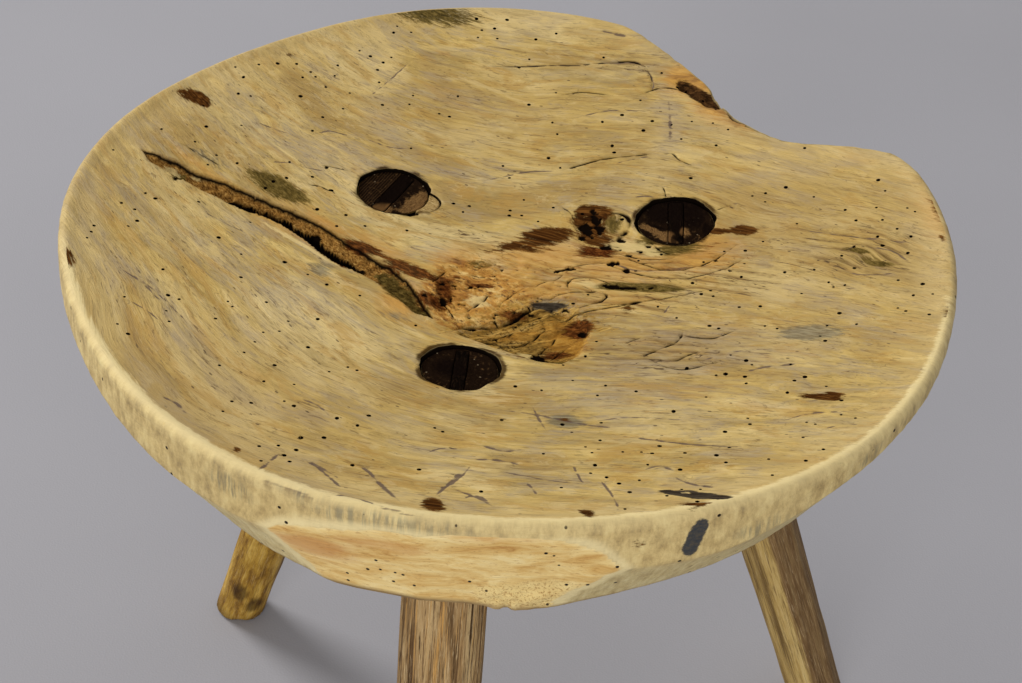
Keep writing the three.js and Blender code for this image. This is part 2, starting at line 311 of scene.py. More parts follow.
class Shell:
    def __init__(self):
        self.points = []
        self.count = 0
        self.faces = []

    def add(self, points):
        points = np.atleast_2d(points)
        self.points.append(points)
        self.count += len(points)
        return np.arange(self.count - len(points), self.count)

    def band(self, lower, upper):
        """Quads between two loops of the same length, facing out when the loops run anticlockwise."""
        for a, b in zip(range(len(lower)), np.roll(range(len(lower)), -1)):
            self.faces.append((lower[a], lower[b], upper[b], upper[a]))

    def wall(self, loops, from_above=False):
        """Bands from loop to loop. The loops go up a solid, or down it if from_above, and down a hole."""
        for first, second in zip(loops, loops[1:]):
            self.band(*((second, first) if from_above else (first, second)))

    def plate(self, outer, holes, inner, flat, facing_up=True):
        """Triangles that fill the outer loop round the holes. flat gives every point's place in the plane."""
        used = np.concatenate([outer, *holes, inner]).astype(int)
        plane = flat[used]
        edges, start = [], 0
        for loop in [outer, *holes]:
            n = len(loop)
            edges += [(start + k, start + (k + 1) % n) for k in range(n)]
            start += n
        found = delaunay_2d_cdt([Vector(p) for p in plane], edges, [], 0, 1e-6)
        where = np.array([v[:] for v in found[0]])
        source = np.array([o[0] if o else -1 for o in found[3]])
        triangles = np.array(found[2])
        middle = where[triangles].mean(1)
        keep = inside_polygon(middle[:, 0], middle[:, 1], flat[outer])
        for loop in holes:
            keep &= ~inside_polygon(middle[:, 0], middle[:, 1], flat[loop])
        kept = used[source[triangles[keep]]]
        if not facing_up:
            kept = kept[:, ::-1]
        self.faces += [tuple(t) for t in kept]

    def mesh(self, name):
        points = (np.concatenate(self.points) + [*SEAT_CENTRE, 0]) * MM
        data = bpy.data.meshes.new(name)
        data.from_pydata(points.tolist(), [], [tuple(int(i) for i in f) for f in self.faces])
        data.polygons.foreach_set("use_smooth", np.ones(len(data.polygons), bool))
        data.update()
        return data

    def all_points(self):
        return np.concatenate(self.points)


def lattice(step, half, seed):
    """Points of a triangular lattice, each moved a little."""
    rows = np.arange(-half, half, step * math.sqrt(3) / 2)
    across = np.arange(-half, half, step)
    x = across[None, :] + (np.arange(len(rows)) % 2)[:, None] * step / 2
    y = np.repeat(rows[:, None], len(across), 1)
    points = np.stack([x.ravel(), y.ravel()], -1)
    return points + np.random.default_rng(seed).uniform(-0.14, 0.14, points.shape) * step


def ones_at(count, *rows):
    """A value for every point: 1 in the given rows, and 0 elsewhere."""
    values = np.zeros(count)
    values[np.concatenate(rows)] = 1
    return values


def paint(data, name, values):
    """Stores a number or a vector for each point, for the material to read."""
    values = np.asarray(values, np.float32)
    if values.ndim == 1:
        data.attributes.new(name, "FLOAT", "POINT").data.foreach_set("value", values)
    else:
        data.attributes.new(name, "FLOAT_VECTOR", "POINT").data.foreach_set("vector", values.ravel())


# The long drying split and the soft heart, as pixels of the photograph

SPLIT_UPPER = [
    (141, 149), (160, 155), (176, 160.5), (193.5, 169.6), (212, 176), (235, 185), (263.5, 196.6),
    (293, 209.5), (316, 221), (339, 235.3), (362, 249.7), (380, 261.2), (390, 265), (408, 279.5),
    (419.5, 294), (436, 321),
]
SPLIT_LOWER = [
    (141, 149), (148, 160.5), (158, 165), (172, 173.6), (184, 179.4), (205, 192), (223, 199), (244, 208),
    (263.5, 215.5), (281, 224), (304.5, 239.4), (318, 250.8), (339, 263.5), (362, 273.8), (373, 279.5),
    (385, 288.7), (402, 302.5), (413.5, 314), (436, 323),
]
HEART = [
    (431, 273), (450, 256), (485, 252), (526, 257), (561, 263), (570, 276), (574, 300), (588, 326),
    (580, 352), (560, 362), (544, 361), (512, 351), (480, 341), (453, 330), (433, 320), (423, 304),
    (423, 293),
]
HEART_SOFT = [
    (424, 285), (436, 268), (455, 258), (480, 258), (505, 268), (524, 281), (537, 299), (507, 318),
    (478, 323), (453, 331), (436, 322), (427, 305),
]
HEART_DARK = [
    (455, 333), (478, 322), (508, 316), (535, 301), (560, 306), (582, 318), (590, 334), (580, 354),
    (560, 364), (540, 362), (512, 352), (480, 342),
]
# The dark part's torn fibres run up to the right at this angle, and thin out behind this place
HEART_SLANT = 31
TORN_MIDDLE = (520, 340)

# Cracks: width and depth in millimetres, how dark the painted shade in them is, then the line in pixels
CRACKS = [
    (1.6, 2.6, 1, [(452, 330.5), (458, 327), (464, 325), (472, 323.5), (478, 322)]),
    (0.8, 1.4, 0.9, [(478, 322), (493, 321), (500, 320)]),
    (1.7, 2.6, 1, [(499, 320), (508, 317), (517, 312), (526, 307), (535, 302.5)]),
    (0.9, 1.4, 0.9, [(457, 331), (470, 336), (480, 340), (490, 339.5), (499, 342), (507, 348), (513, 353),
                     (526, 358), (538, 361.5), (556, 363), (576, 365)]),
    (0.8, 1, 0.9, [(484, 338), (496, 334), (508, 329), (522, 322)]),
    (0.9, 1, 0.9, [(508, 346), (524, 338), (536, 331), (548, 321)]),
    (0.8, 1, 0.9, [(530, 355), (541, 347), (552, 338), (558, 329)]),
    (0.7, 0.9, 0.85, [(548, 356), (560, 348), (570, 340)]),
    (0.7, 0.9, 0.85, [(524, 316), (538, 312), (552, 311), (568, 314)]),
    (0.7, 0.9, 0.9, [(440, 296), (446, 304), (452, 311), (455, 318)]),
    (0.6, 0.8, 0.85, [(446, 290), (457, 285), (470, 284)]),
    (0.6, 0.8, 0.85, [(498, 302), (508, 295), (520, 286), (530, 283)]),
    (0.7, 0.9, 0.85, [(432, 283), (437, 275), (447, 268)]),
    (1, 1.4, 0.9, [(488, 331), (494, 332.5), (499, 332), (505, 328)]),
    (0.9, 1.2, 0.9, [(464.5, 309), (474, 303), (484, 297), (489, 292), (493, 289)]),
    (1, 1.2, 0.95, [(570, 288), (567.5, 284), (569, 279), (576, 277), (592, 277), (605, 280.5),
                    (613, 284)]),
    (1, 1.2, 0.9, [(547, 295), (556, 292.5), (566, 291), (580, 291), (600, 290)]),
    (1.1, 1.2, 0.9, [(575, 308), (590, 304), (602, 300), (607, 295), (602, 291)]),
    (1.1, 1.3, 0.95, [(567, 268.5), (572, 266), (581, 264), (592, 263), (608, 262)]),
    (0.6, 0.8, 0.8, [(532, 282), (544, 279), (556, 276), (561, 273.5), (563, 270)]),
    (1.1, 1.2, 0.95, [(625, 345), (632, 341), (643, 337)]),
    (1.1, 1.1, 0.95, [(641, 357), (655, 351), (668, 346), (679, 340), (683, 331)]),
    (0.9, 0.8, 0.85, [(670, 361), (685, 356), (700, 351)]),
    (1, 0.9, 0.9, [(652, 361), (664, 366), (681, 369), (700, 366), (722, 361)]),
    (0.6, 0.6, 0.8, [(174, 141), (186, 146), (196, 152), (210, 160), (222, 167)]),
    (0.9, 0.8, 0.85, [(660, 155), (672, 154), (680, 160), (693, 165)]),
    (0.8, 0.6, 0.85, [(322, 165), (340, 169), (354, 172)]),
    (0.8, 0.6, 0.85, [(305, 185), (318, 186), (328, 191), (335, 193)]),
    (0.7, 0.6, 0.9, [(661, 186), (664, 191), (666, 198)]),
    (0.8, 0.6, 0.85, [(716, 210), (726, 206.5), (733, 204)]),
    (0.7, 0.6, 0.9, [(480, 341), (501, 341.5), (512, 352), (525, 359)]),
    (0.9, 0.8, 0.9, [(616, 252), (628, 256), (642, 259), (660, 260), (674, 257.5)]),
    (0.7, 0.6, 0.85, [(620, 258), (640, 263), (660, 264), (676, 262)]),
    (1.9, 1.2, 1, [(606, 214), (616, 212), (625, 215), (630, 222), (627, 230), (619, 238), (612, 240)]),
    (1, 0.9, 0.9, [(550, 316), (582, 312), (614, 307), (655, 299)]),
    (0.8, 0.8, 0.85, [(586, 307), (627, 303), (673, 296), (718, 287)]),
    (0.9, 0.8, 0.85, [(682, 335), (702, 338), (718, 337), (736, 330)]),
    (0.9, 0.8, 0.9, [(560, 205), (570, 212), (577, 226)]),
    (0.9, 0.8, 0.85, [(614, 248), (636, 262), (673, 271), (709, 262), (736, 244)]),
    (0.8, 0.7, 0.8, [(596, 262), (640, 274), (680, 279), (720, 270), (752, 252)]),
    (0.8, 0.8, 0.85, [(560, 96), (581, 91), (613, 94)]),
    (1, 0.8, 0.9, [(636, 96), (660, 88), (680, 90), (700, 99)]),
    (1, 0.8, 0.85, [(556, 171), (602, 159), (640, 155), (660, 153)]),
    (0.9, 0.8, 0.85, [(484, 66), (520, 65), (580, 64), (628, 60), (645, 66), (652, 80), (650, 92)]),
    (0.9, 0.8, 1, [(637, 208), (639, 222), (645, 234), (653, 244), (664, 252), (675, 255)]),
]

# Shallow grey cuts and bruises: width, strength, then the line
CUTS = [
    (0.8, 0.9, [(664, 312), (670, 305)]),
    (0.8, 0.8, [(470, 280), (482, 281), (493, 279)]),
    (0.8, 0.95, [(265, 165), (285, 163), (318, 170), (336, 171)]),
    (0.8, 0.9, [(480, 66), (520, 65), (580, 64), (632, 61), (643, 66), (652, 78), (653, 89), (646, 94),
                (632, 96)]),
    (0.8, 0.7, [(610, 164), (640, 158), (660, 155)]),
    (0.8, 0.8, [(733, 204), (742, 202)]),
    (0.8, 0.9, [(630, 198), (645, 197), (657, 198)]),
    (0.9, 0.85, [(801, 401), (820, 399), (840, 392)]),
    (0.9, 0.85, [(532, 406), (539, 420), (546, 430)]),
    (1, 0.8, [(573, 465), (578, 475), (584, 483)]),
    (1, 0.8, [(308, 459), (325, 469), (342, 479)]),
    (1.5, 1, [(354, 463), (368, 470), (380, 484), (401, 502)]),
    (1.3, 0.9, [(305, 458), (322, 470), (342, 487)]),
    (1.2, 0.9, [(436, 496), (446, 486), (462, 470)]),
    (1.2, 0.9, [(452, 488), (470, 495), (496, 507)]),
    (1.2, 0.8, [(472, 459), (498, 460), (526, 466)]),
    (1.2, 0.9, [(527, 482), (531, 487), (537, 494)]),
    (1.2, 0.8, [(257, 472), (268, 462), (279, 452)]),
    (1.5, 0.9, [(258, 476), (285, 486), (314, 496)]),
    (1.2, 0.8, [(498, 410), (540, 416), (590, 424), (624, 428)]),
    (1.2, 0.8, [(600, 432), (660, 440), (720, 446), (760, 448)]),
    (1.1, 0.7, [(780, 420), (810, 412), (850, 410)]),
    (1.6, 0.8, [(668, 98), (670, 120), (670, 146)]),
    (1, 0.8, [(430, 490), (452, 483), (475, 463)]),
    (1.2, 0.8, [(250, 474), (275, 484), (300, 492), (322, 500)]),
    (1.2, 0.75, [(320, 497), (350, 497), (390, 510), (440, 520)]),
    (0.9, 0.75, [(460, 500), (478, 496), (495, 508)]),
    (0.9, 0.75, [(500, 472), (540, 478), (580, 484)]),
    (1, 0.8, [(600, 478), (612, 495), (620, 510)]),
    (1.3, 0.8, [(668, 474), (690, 484), (718, 488)]),
    (0.9, 0.7, [(116, 265), (135, 277), (150, 290), (172, 312)]),
    (0.8, 0.7, [(411, 61), (392, 78), (365, 101)]),
    (0.9, 0.8, [(361, 136), (390, 147), (415, 149)]),
    (0.8, 0.8, [(255, 121), (272, 127), (289, 133)]),
    (0.8, 0.8, [(308, 134), (330, 131), (355, 136)]),
    (0.8, 0.95, [(568, 266), (590, 263), (612, 264), (632, 270), (650, 271), (690, 268), (720, 262)]),
    (0.8, 0.8, [(424, 452), (440, 448), (461, 449)]),
    (0.8, 0.75, [(590, 420), (640, 416), (690, 420)]),
    (0.8, 0.7, [(700, 360), (740, 352), (780, 347)]),
    (0.8, 0.75, [(480, 182), (520, 172), (560, 170)]),
    (0.8, 0.75, [(560, 120), (610, 110), (650, 112)]),
    (0.8, 0.7, [(130, 300), (146, 310), (160, 322)]),
    (1, 0.7, [(130, 272), (152, 288), (178, 312), (190, 326)]),
    (0.8, 0.65, [(200, 210), (225, 222), (245, 232)]),
    (0.8, 0.7, [(138, 230), (146, 238)]),
    (0.8, 0.7, [(790, 228), (850, 236), (930, 243)]),
    (0.8, 0.8, [(836, 252), (862, 246), (892, 250), (912, 262)]),
    (0.8, 0.8, [(836, 268), (866, 274), (900, 270)]),
    (1.6, 0.9, [(600, 30), (612, 33), (628, 36)]),
    (1.4, 0.8, [(160, 395), (176, 402), (186, 412)]),
    (1.6, 0.8, [(150, 424), (166, 432), (180, 436)]),
    (1.2, 0.7, [(745, 372), (770, 366), (800, 364)]),
    (1.2, 0.7, [(300, 400), (318, 408), (332, 420)]),
    (1.4, 0.8, [(640, 470), (660, 466), (676, 472)]),
    (1.2, 0.7, [(820, 430), (842, 424), (866, 424)]),
    (1.4, 0.8, [(480, 446), (504, 452), (522, 450)]),
]
CUT_DEPTH = 0.3

# Stains: middle in pixels, half length and half width in millimetres, turn in degrees, strength
BROWN = [
    (822, 396, 8, 1.8, -14, 1), (834, 393, 4, 1.2, -14, 0.9), (565, 419, 4, 1.6, 0, 0.6),
    (196, 98, 7, 4.2, -20, 1), (204, 104, 3, 3, 0, 1), (186, 93, 3.5, 2.2, 0, 0.9),
    (545, 236, 10, 5.4, 10, 1), (520, 245, 11, 3.2, 14, 0.85), (562, 231, 6, 3, 0, 0.8),
    (500, 249, 12, 2.6, 12, 0.6), (530, 249, 12, 3, 0, 0.6), (267, 40, 3.6, 2.8, 0, 0.8),
    (289, 55, 3, 2, 0, 0.55), (434, 505, 3.6, 4.6, 30, 1), (587, 513, 2.6, 3.6, 40, 0.8),
    (743, 229, 5, 3, -4, 1), (728, 230, 7, 2, 6, 0.7), (717, 231, 4, 2.4, 0, 0.9),
    (565, 348, 6.5, 5, 10, 0.8), (237, 449, 2, 2.4, 0, 0.6), (947, 313, 3, 5, 0, 0.6),
    (65, 259, 4, 8, 0, 0.75), (600, 250, 10, 6, 4, 0.75), (597, 213, 6, 6, 50, 1),
    (590, 225, 6.5, 11, 10, 1), (600, 240, 7, 5, 0, 0.9), (584, 212, 4, 5, 0, 0.9),
    (612, 246, 8, 2.6, -10, 0.8), (628, 309, 5, 5, 20, 0.6), (645, 287, 14, 3, -2, 0.3),
    (698, 505, 8, 2, -3, 0.7), (942, 240, 2, 8, 0, 0.5),
]
GREY = [
    (434, 12, 17, 6, 0, 1), (811, 333, 11, 5, -4, 1.05), (566, 421, 6, 4, 0, 1), (186, 469, 9, 8, -40, 0.6),
    (90, 192, 3, 4, 0, 0.4), (548, 301, 10, 5, -8, 1), (208, 158, 14, 4, -32, 0.6),
    (322, 270, 6, 6, 0, 0.75), (395, 316, 8, 4, -20, 0.6), (565, 421, 6, 4, 0, 0.6),
]
# Soft lilac veils
VEIL = [
    (829, 299, 8, 6, 0, 0.8), (857, 311, 8, 6, 0, 0.8), (146, 123, 8, 6, 0, 0.7), (83, 181, 7, 9, 0, 0.7),
    (169, 429, 16, 12, -40, 0.8), (670, 122, 5, 22, 4, 1), (664, 150, 6, 6, 0, 0.8),
    (382, 120, 9, 16, 10, 0.7), (125, 270, 20, 8, -40, 0.7), (120, 190, 14, 12, 0, 0.6),
    (640, 395, 40, 12, 0, 0.7), (330, 500, 20, 6, -10, 0.7), (460, 100, 34, 8, 0, 0.6),
    (760, 175, 30, 5, 16, 0.8), (820, 168, 20, 5, 14, 0.8), (700, 340, 30, 10, 8, 0.8),
    (265, 233, 9, 7, -30, 0.7), (300, 300, 24, 12, -20, 0.7), (690, 484, 18, 8, -10, 0.6),
    (320, 150, 34, 12, -14, 0.8), (230, 260, 26, 10, -30, 0.7), (760, 355, 26, 8, 6, 0.7),
    (470, 175, 30, 8, -4, 0.6), (180, 330, 20, 12, -50, 0.6), (890, 340, 14, 12, 30, 0.5),
    (650, 370, 30, 8, 4, 0.7),
]
INK = [
    (548, 302, 8, 2.6, -8, 0.85), (718, 498, 5, 1.5, -4, 1), (706, 497.5, 7, 1.3, 2, 1),
    (692, 495.5, 7, 1, 4, 1), (678, 493, 6, 0.8, 8, 0.95), (667, 491.5, 4, 0.7, 8, 0.9),
]
# Broad stretches painted darker and browner: mostly painted shade that evens out how the dish is lit
SHADE_STRETCHES = [
    (868, 258, 18, 10, 4, 1.6), (800, 212, 60, 40, 0, 0.9), (900, 230, 30, 50, 0, 0.9),
    (235, 400, 50, 40, -30, 0.8), (520, 120, 90, 30, 0, 0.6), (760, 300, 60, 40, 0, 0.6),
    (120, 300, 20, 50, 0, 0.4),
]
# Swirled wood between the heart and the right hole, and round the knots
WHIRL = [
    (650, 352, 38, 14, 4, 0.8), (474, 238, 30, 10, -20, 0.6), (600, 285, 44, 26, 8, 1),
    (700, 280, 34, 14, 10, 0.9), (530, 345, 30, 14, 10, 0.6), (860, 250, 26, 18, 6, 0.9),
    (640, 62, 34, 14, 0, 0.7),
]
# Bark that is left in the bay
BARK = [
    (688, 88, 6, 3.6, -45, 0.95), (699, 95, 7, 4, -42, 1), (710, 100, 7, 4, -38, 1),
    (719, 105, 4, 3, -30, 0.9), (738, 118, 6, 2.4, -36, 0.9), (755, 128, 7, 1.6, -30, 0.7),
]
ORANGE = [
    (692, 78, 10, 12, -50, 1), (715, 112, 18, 9, -40, 0.7), (497, 300, 34, 30, 0, 0.85),
    (410, 300, 12, 14, -50, 0.8), (300, 232, 50, 5, -36, 0.75), (327, 224, 14, 3, -33, 0.8),
    (700, 250, 20, 20, 10, 0.7), (612, 262, 40, 26, 0, 0.62), (545, 255, 34, 14, 8, 0.7),
    (610, 300, 30, 18, 0, 0.5), (935, 215, 10, 24, 10, 0.6), (394, 190, 24, 28, 0, 0.35),
    (458, 262, 12, 12, 0, 0.8), (205, 170, 30, 4, -36, 0.6), (385, 250, 22, 8, -30, 0.6),
]
RED = [
    (441, 278, 5, 6, 20, 0.8), (512, 311, 8, 4, 14, 0.62), (481, 281, 6, 1.6, 4, 0.9),
    (556, 349, 8, 4, 6, 0.7), (443, 288, 3.4, 10, 10, 0.9), (437, 302, 5, 4, 20, 0.7),
    (431, 300, 4, 7, 40, 0.9), (578, 327, 5, 6, 30, 1), (364, 248, 9, 3.6, -26, 0.9),
    (384, 257, 8, 2, -20, 0.6), (412, 270, 11, 4.4, -24, 1), (430, 277, 6, 2, -10, 0.7),
    (524, 356, 5, 3, 10, 0.6), (939, 212, 4, 14, 12, 0.6), (340, 264, 5, 2, -20, 0.9),
    (597, 252, 9, 5, 0, 0.8), (455, 275, 4, 4, 0, 0.6), (708, 246, 8, 6, 10, 0.45),
]
# Amber wood over the soft heart and along the bay
AMBER = [
    (566, 336, 8, 13, 10, 1), (520, 330, 16, 5, 14, 0.7), (480, 306, 16, 10, 0, 0.5),
    (690, 82, 12, 7, -42, 1), (714, 106, 10, 5, -38, 1), (742, 122, 9, 3.4, -30, 0.8),
    (520, 268, 14, 9, 10, 0.5), (690, 262, 20, 8, 10, 0.55), (444, 262, 10, 7, -20, 0.5),
    (560, 285, 14, 9, 0, 0.45),
]
OLIVE = [
    (866, 258, 16, 7, 4, 0.5), (858, 250, 6, 1.6, -20, 0.8), (880, 262, 9, 1.8, -14, 0.8),
    (277, 187, 13, 5.5, -28, 1), (262, 178, 6, 4, -40, 0.8), (400, 290, 9, 5, -48, 1),
    (388, 275, 6, 4, -40, 0.9), (418, 308, 7, 4, -60, 0.9), (480, 262, 14, 4, 4, 0.5),
    (434, 14, 24, 9, 0, 0.7), (178, 172, 3, 3, 0, 1), (640, 287, 14, 3, -2, 1), (618, 286, 8, 2.6, 0, 1),
    (665, 289, 9, 1.8, -2, 0.9), (614, 224, 4, 6, 0, 0.8), (672, 250, 14, 3, 8, 0.9),
    (680, 249, 14, 5, 10, 0.7), (646, 241, 5, 8, -50, 0.7), (560, 359, 10, 3, 0, 0.6),
]
# Small black pits and rims, mostly in the heart and round the knot beside the right hole
BLACK = [
    (569, 279, 2.2, 1.6, 40, 0.8), (566, 268, 4, 1.2, 8, 0.9), (470, 283, 1.4, 1, 0, 0.8),
    (455, 282, 1.2, 1, 0, 0.8), (587, 229, 3.2, 5, 30, 0.9), (597, 222, 2.4, 6, 10, 0.8),
    (594, 213, 3, 3, 30, 0.7), (606, 246, 3, 2, 0, 0.8), (540, 356, 3, 4, 40, 1),
    (584, 330, 2, 2.4, 0, 0.8), (569, 267, 1.6, 1.4, 0, 1), (613, 264, 2.4, 1.4, 0, 1),
    (627, 270, 1.4, 1.2, 0, 1), (443, 300, 1.6, 3, 10, 0.9), (424, 295, 2, 2, 0, 0.8),
    (442, 283, 1.2, 1.4, 0, 0.9), (178, 176, 2, 1.6, 0, 0.9), (297, 226, 1.8, 1.6, 0, 1),
    (317, 233, 2.4, 3, 0, 0.9), (612, 286, 5, 1.6, 0, 0.9), (408, 213, 5, 1.6, 0, 0.9),
    (630, 287, 10, 1.2, -2, 0.8), (622, 240, 1.6, 1.2, 0, 0.9), (640, 251, 1.8, 1.1, -20, 0.9),
    (630, 255, 1.6, 1, 0, 0.9), (648, 246, 1.4, 1, 0, 0.8), (620, 249, 1.2, 1, 0, 0.8),
    (583, 237, 2.2, 2.6, 0, 0.8), (600, 228, 2.6, 4, 20, 0.8),
]
PALE = [
    (633, 247, 11, 5, -20, 0.8), (650, 254, 6, 2.4, 0, 0.7), (588, 283, 8, 3.4, 0, 0.6),
    (595, 298, 9, 3, 8, 0.45), (478, 298, 6, 6, 0, 0.8), (196, 173, 2.2, 1, -10, 1),
    (305, 247, 20, 0.9, -34, 0.9), (172, 167, 4, 2.4, -30, 0.9), (435, 201, 4, 6, 60, 0.6),
    (525, 352, 4, 2.4, -20, 0.8),
]
# Marks on the side: middle in pixels, half width round the rim and half height in millimetres, strength
SIDE_GREY = [
    (234, 485, 9, 5, 0.75), (370, 520, 26, 4.5, 0.7), (300, 492, 16, 3, 0.6), (560, 534, 20, 3, 0.35),
    (756, 528, 10, 5, 0.5), (120, 430, 12, 5, 0.45), (860, 462, 14, 4, 0.45),
]
SIDE_INK = [
    (701, 528, 2.8, 3.6, 1), (696, 538, 2.9, 4.6, 1), (691, 548, 2.8, 3.6, 1),
]
SIDE_BROWN = [
    (698, 510, 5, 1.6, 1), (436, 508, 3, 4, 0.9), (587, 514, 4, 3, 0.8), (520, 560, 9, 2, 0.5),
    (640, 548, 6, 3, 0.5), (470, 585, 10, 3, 0.4),
]
FACET_FLUSH = [
    (310, 552, 16, 9, 1), (360, 545, 22, 5, 0.8), (480, 542, 30, 3, 0.6), (590, 560, 12, 5, 0.4),
]
# Knots that the grain bows round: middle in pixels, and size in millimetres
GRAIN_KNOTS = [
    (496, 305, 34), (601, 222, 18), (675, 222, 16), (394, 191, 13), (460, 368, 14), (867, 257, 9),
]

# The marks that lie on the top, on both and on the side, by the names that they are painted with
TOP_MARKS = dict(grey=GREY, veil=VEIL, tan=SHADE_STRETCHES, whirl=WHIRL, amber=AMBER, orange=ORANGE, red=RED, olive=OLIVE,
                 pale=PALE)
TOP_AND_SIDE_MARKS = dict(brown=(BROWN, SIDE_BROWN), ink=(INK, SIDE_INK))
SIDE_MARKS = dict(smudge=SIDE_GREY, flush=FACET_FLUSH)

# Beetle holes: how many, and how far from each other, the split, the rim and the middle of a tenon
WORM_HOLES = 310
WORM_SEED = 11
WORM_APART = 3.5
WORM_FROM_SPLIT = 2.5
WORM_FROM_RIM = 3
WORM_FROM_TENON = 22


# Seat fields

def patches(x, y, spots):
    """1 in the middle of a spot, 0.5 on its border and less outside, times its strength."""
    field = np.zeros(x.shape)
    centres = on_dish([(s[0], s[1]) for s in spots])
    for (_, _, long, wide, turn, strength), (cx, cy) in zip(spots, centres):
        a, b = turned(x - cx, y - cy, turn)
        f = 1 - 0.5 * np.hypot(a / long, b / wide)
        field = np.maximum(field, strength * np.clip(f, 0, 1))
    return field


def side_patches(azimuth, z, spots):
    """The same for spots on the upright side of the seat."""
    field = np.zeros(azimuth.shape)
    middles, heights = on_band([(s[0], s[1]) for s in spots])
    for (_, _, wide, tall, strength), middle, height in zip(spots, middles, heights):
        away = np.radians(turn_from(azimuth, middle)) * SEAT_RADIUS
        f = 1 - 0.5 * np.hypot(away / wide, (z - height) / tall)
        field = np.maximum(field, strength * np.clip(f, 0, 1))
    return field


def rim_radius(azimuth):
    """Reach of the side, which wanders a little from a circle."""
    return SEAT_RADIUS + RIM_WANDER * np.cos(np.radians(RIM_WANDER_WAVES * (azimuth - RIM_WANDER_AZIMUTH)))


BAY_LINE = curved(np.array([polar(a, SEAT_RADIUS - i) for a, i in BAY_EDGE]), 12)
BAY_POLAR = sorted(zip(np.degrees(np.arctan2(BAY_LINE[:, 1], BAY_LINE[:, 0])), np.hypot(*BAY_LINE.T)))


def bay_radius(azimuth, height):
    """Reach of the bay's wall, or a reach well past the rim away from the bay."""
    a, r = np.array(BAY_POLAR).T
    a = np.concatenate([[a[0] - 6], a, [a[-1] + 6]])
    r = np.concatenate([[SEAT_RADIUS + 40], r, [SEAT_RADIUS + 40]])
    turn = turn_from(np.asarray(azimuth), 0)
    drop = (RIM_HEIGHT - height) / SLAB
    return np.interp(turn, a, r) + BAY_FLARE * drop * np.cos(np.radians(turn - BAY_AZIMUTH))


def edge_radius(azimuth):
    """Where the flat top of the seat ends and its rim starts to turn down."""
    wobble = 0.35 * noise(np.asarray(azimuth) * 0.35, 0, 0, 5)
    side = rim_radius(azimuth) - RIM_ROUND + wobble
    bay = bay_radius(azimuth, RIM_HEIGHT) - BAY_ROUND + 0.8 * noise(np.asarray(azimuth) * 0.9, 0, 0, 6)
    return softmin(side, bay, 0.8)


HEART_LINE = on_dish(HEART)
HEART_SOFT_LINE = on_dish(HEART_SOFT)
HEART_DARK_LINE = on_dish(HEART_DARK)
UPPER_LINE = on_dish(SPLIT_UPPER)
LOWER_LINE = on_dish(SPLIT_LOWER)
SPLIT_LINE = np.concatenate([UPPER_LINE, LOWER_LINE[::-1][1:-1]])
CRACK_LINES = [(max(1.5 * w, 1.0), d, k, curved(on_dish(line), 4)) for w, d, k, line in CRACKS]
CUT_LINES = [(1.7 * w, CUT_DEPTH, k, curved(on_dish(line), 4)) for w, k, line in CUTS]


def worm_holes():
    """Beetle exit holes: place, radius and depth. They crowd to the rim, as the outer wood is sweetest."""
    rng = np.random.default_rng(WORM_SEED)
    holes = []
    while len(holes) < WORM_HOLES:
        azimuth, reach = rng.uniform(0, 360), SEAT_RADIUS * math.sqrt(rng.uniform(0.02, 0.93))
        x, y = polar(azimuth, reach)
        crowd = 0.25 + 0.75 * float(noise(x / 38, y / 38, 0, 3) > -0.1)
        size, depth = 0.52 + 0.4 * rng.uniform() ** 2, rng.uniform(1.8, 2.8)
        if rng.uniform() > crowd * (0.15 + 0.85 * reach / SEAT_RADIUS):
            continue
        if reach > edge_radius(azimuth) - WORM_FROM_RIM:
            continue
        if polygon_depth(np.array([x]), np.array([y]), SPLIT_LINE)[0] > -WORM_FROM_SPLIT:
            continue
        if any(math.hypot(x - hx, y - hy) < WORM_APART for hx, hy, _, _ in holes):
            continue
        tenons = [polar(leg["tenon_azimuth"], leg["tenon_reach"]) for leg in LEGS.values()]
        if any(math.hypot(*(tenon - [x, y])) < WORM_FROM_TENON for tenon in tenons):
            continue
        holes.append((x, y, size, depth))
    return np.array(holes)


WORMS = worm_holes()


def lines_near(x, y, lines):
    """Each crack or cut that is near: its depth and strength, the points near it, how far in they are."""
    for width, depth, strength, line in lines:
        low, high = line.min(0) - width, line.max(0) + width
        near = (x > low[0]) & (x < high[0]) & (y > low[1]) & (y < high[1])
        if near.any():
            far, t = distance_to_line(x[near], y[near], line)
            taper = smooth(0, 0.2, t) * smooth(1, 0.8, t)
            ragged = 0.75 + 0.55 * noise(x[near] / 2.2, y[near] / 2.2, 0, 43)
            share = np.minimum(1, (0.3 + 0.7 * taper) * ragged)
            wide = width * lerp(0.3, 0.6, taper) * (0.9 + 0.4 * noise(x[near] / 5, y[near] / 5, 0, 45))
            yield depth, strength, near, smooth(wide, wide * 0.15, far) * share


def grain_of(x, y, z):
    """Coordinates along, across and through the grain, which bows round the heart and the knots."""
    bow = np.where(x < 20, (x - 20) ** 2 / 300, -(x - 20) ** 2 / 540)
    fade = lerp(0.35, 1.0, smooth(-170, -20, y))
    across = y - bow * fade
    along = x.copy()
    for cx, cy, size in zip(*on_dish([(k[0], k[1]) for k in GRAIN_KNOTS]).T, [k[2] for k in GRAIN_KNOTS]):
        far = (x - cx) ** 2 / 1.8 + (y - cy) ** 2
        across = across - (y - cy) * size ** 2 / (far + (size * 0.9) ** 2) * 0.62
    across = across + 2.2 * noise(x / 60, y / 30, z / 60, 51) + 0.7 * noise(x / 22, y / 9, z / 20, 52)
    through = (z - RIM_HEIGHT) + 0.12 * y
    return np.stack([along, across, through], -1)


def swirl_at(x, y):
    """The troughs of the swirled grain round the heart and the knots, 0 to 1."""
    across = grain_of(x, y, np.full(x.shape, float(RIM_HEIGHT)))[:, 1]
    rows = np.abs((0.4 * across + 0.5 * fractal(x / 14, y / 9, 0, 2, 53)) % 2 - 1)
    return smooth(0.4, 1, rows) * smooth(0.2, 0.7, patches(x, y, WHIRL))


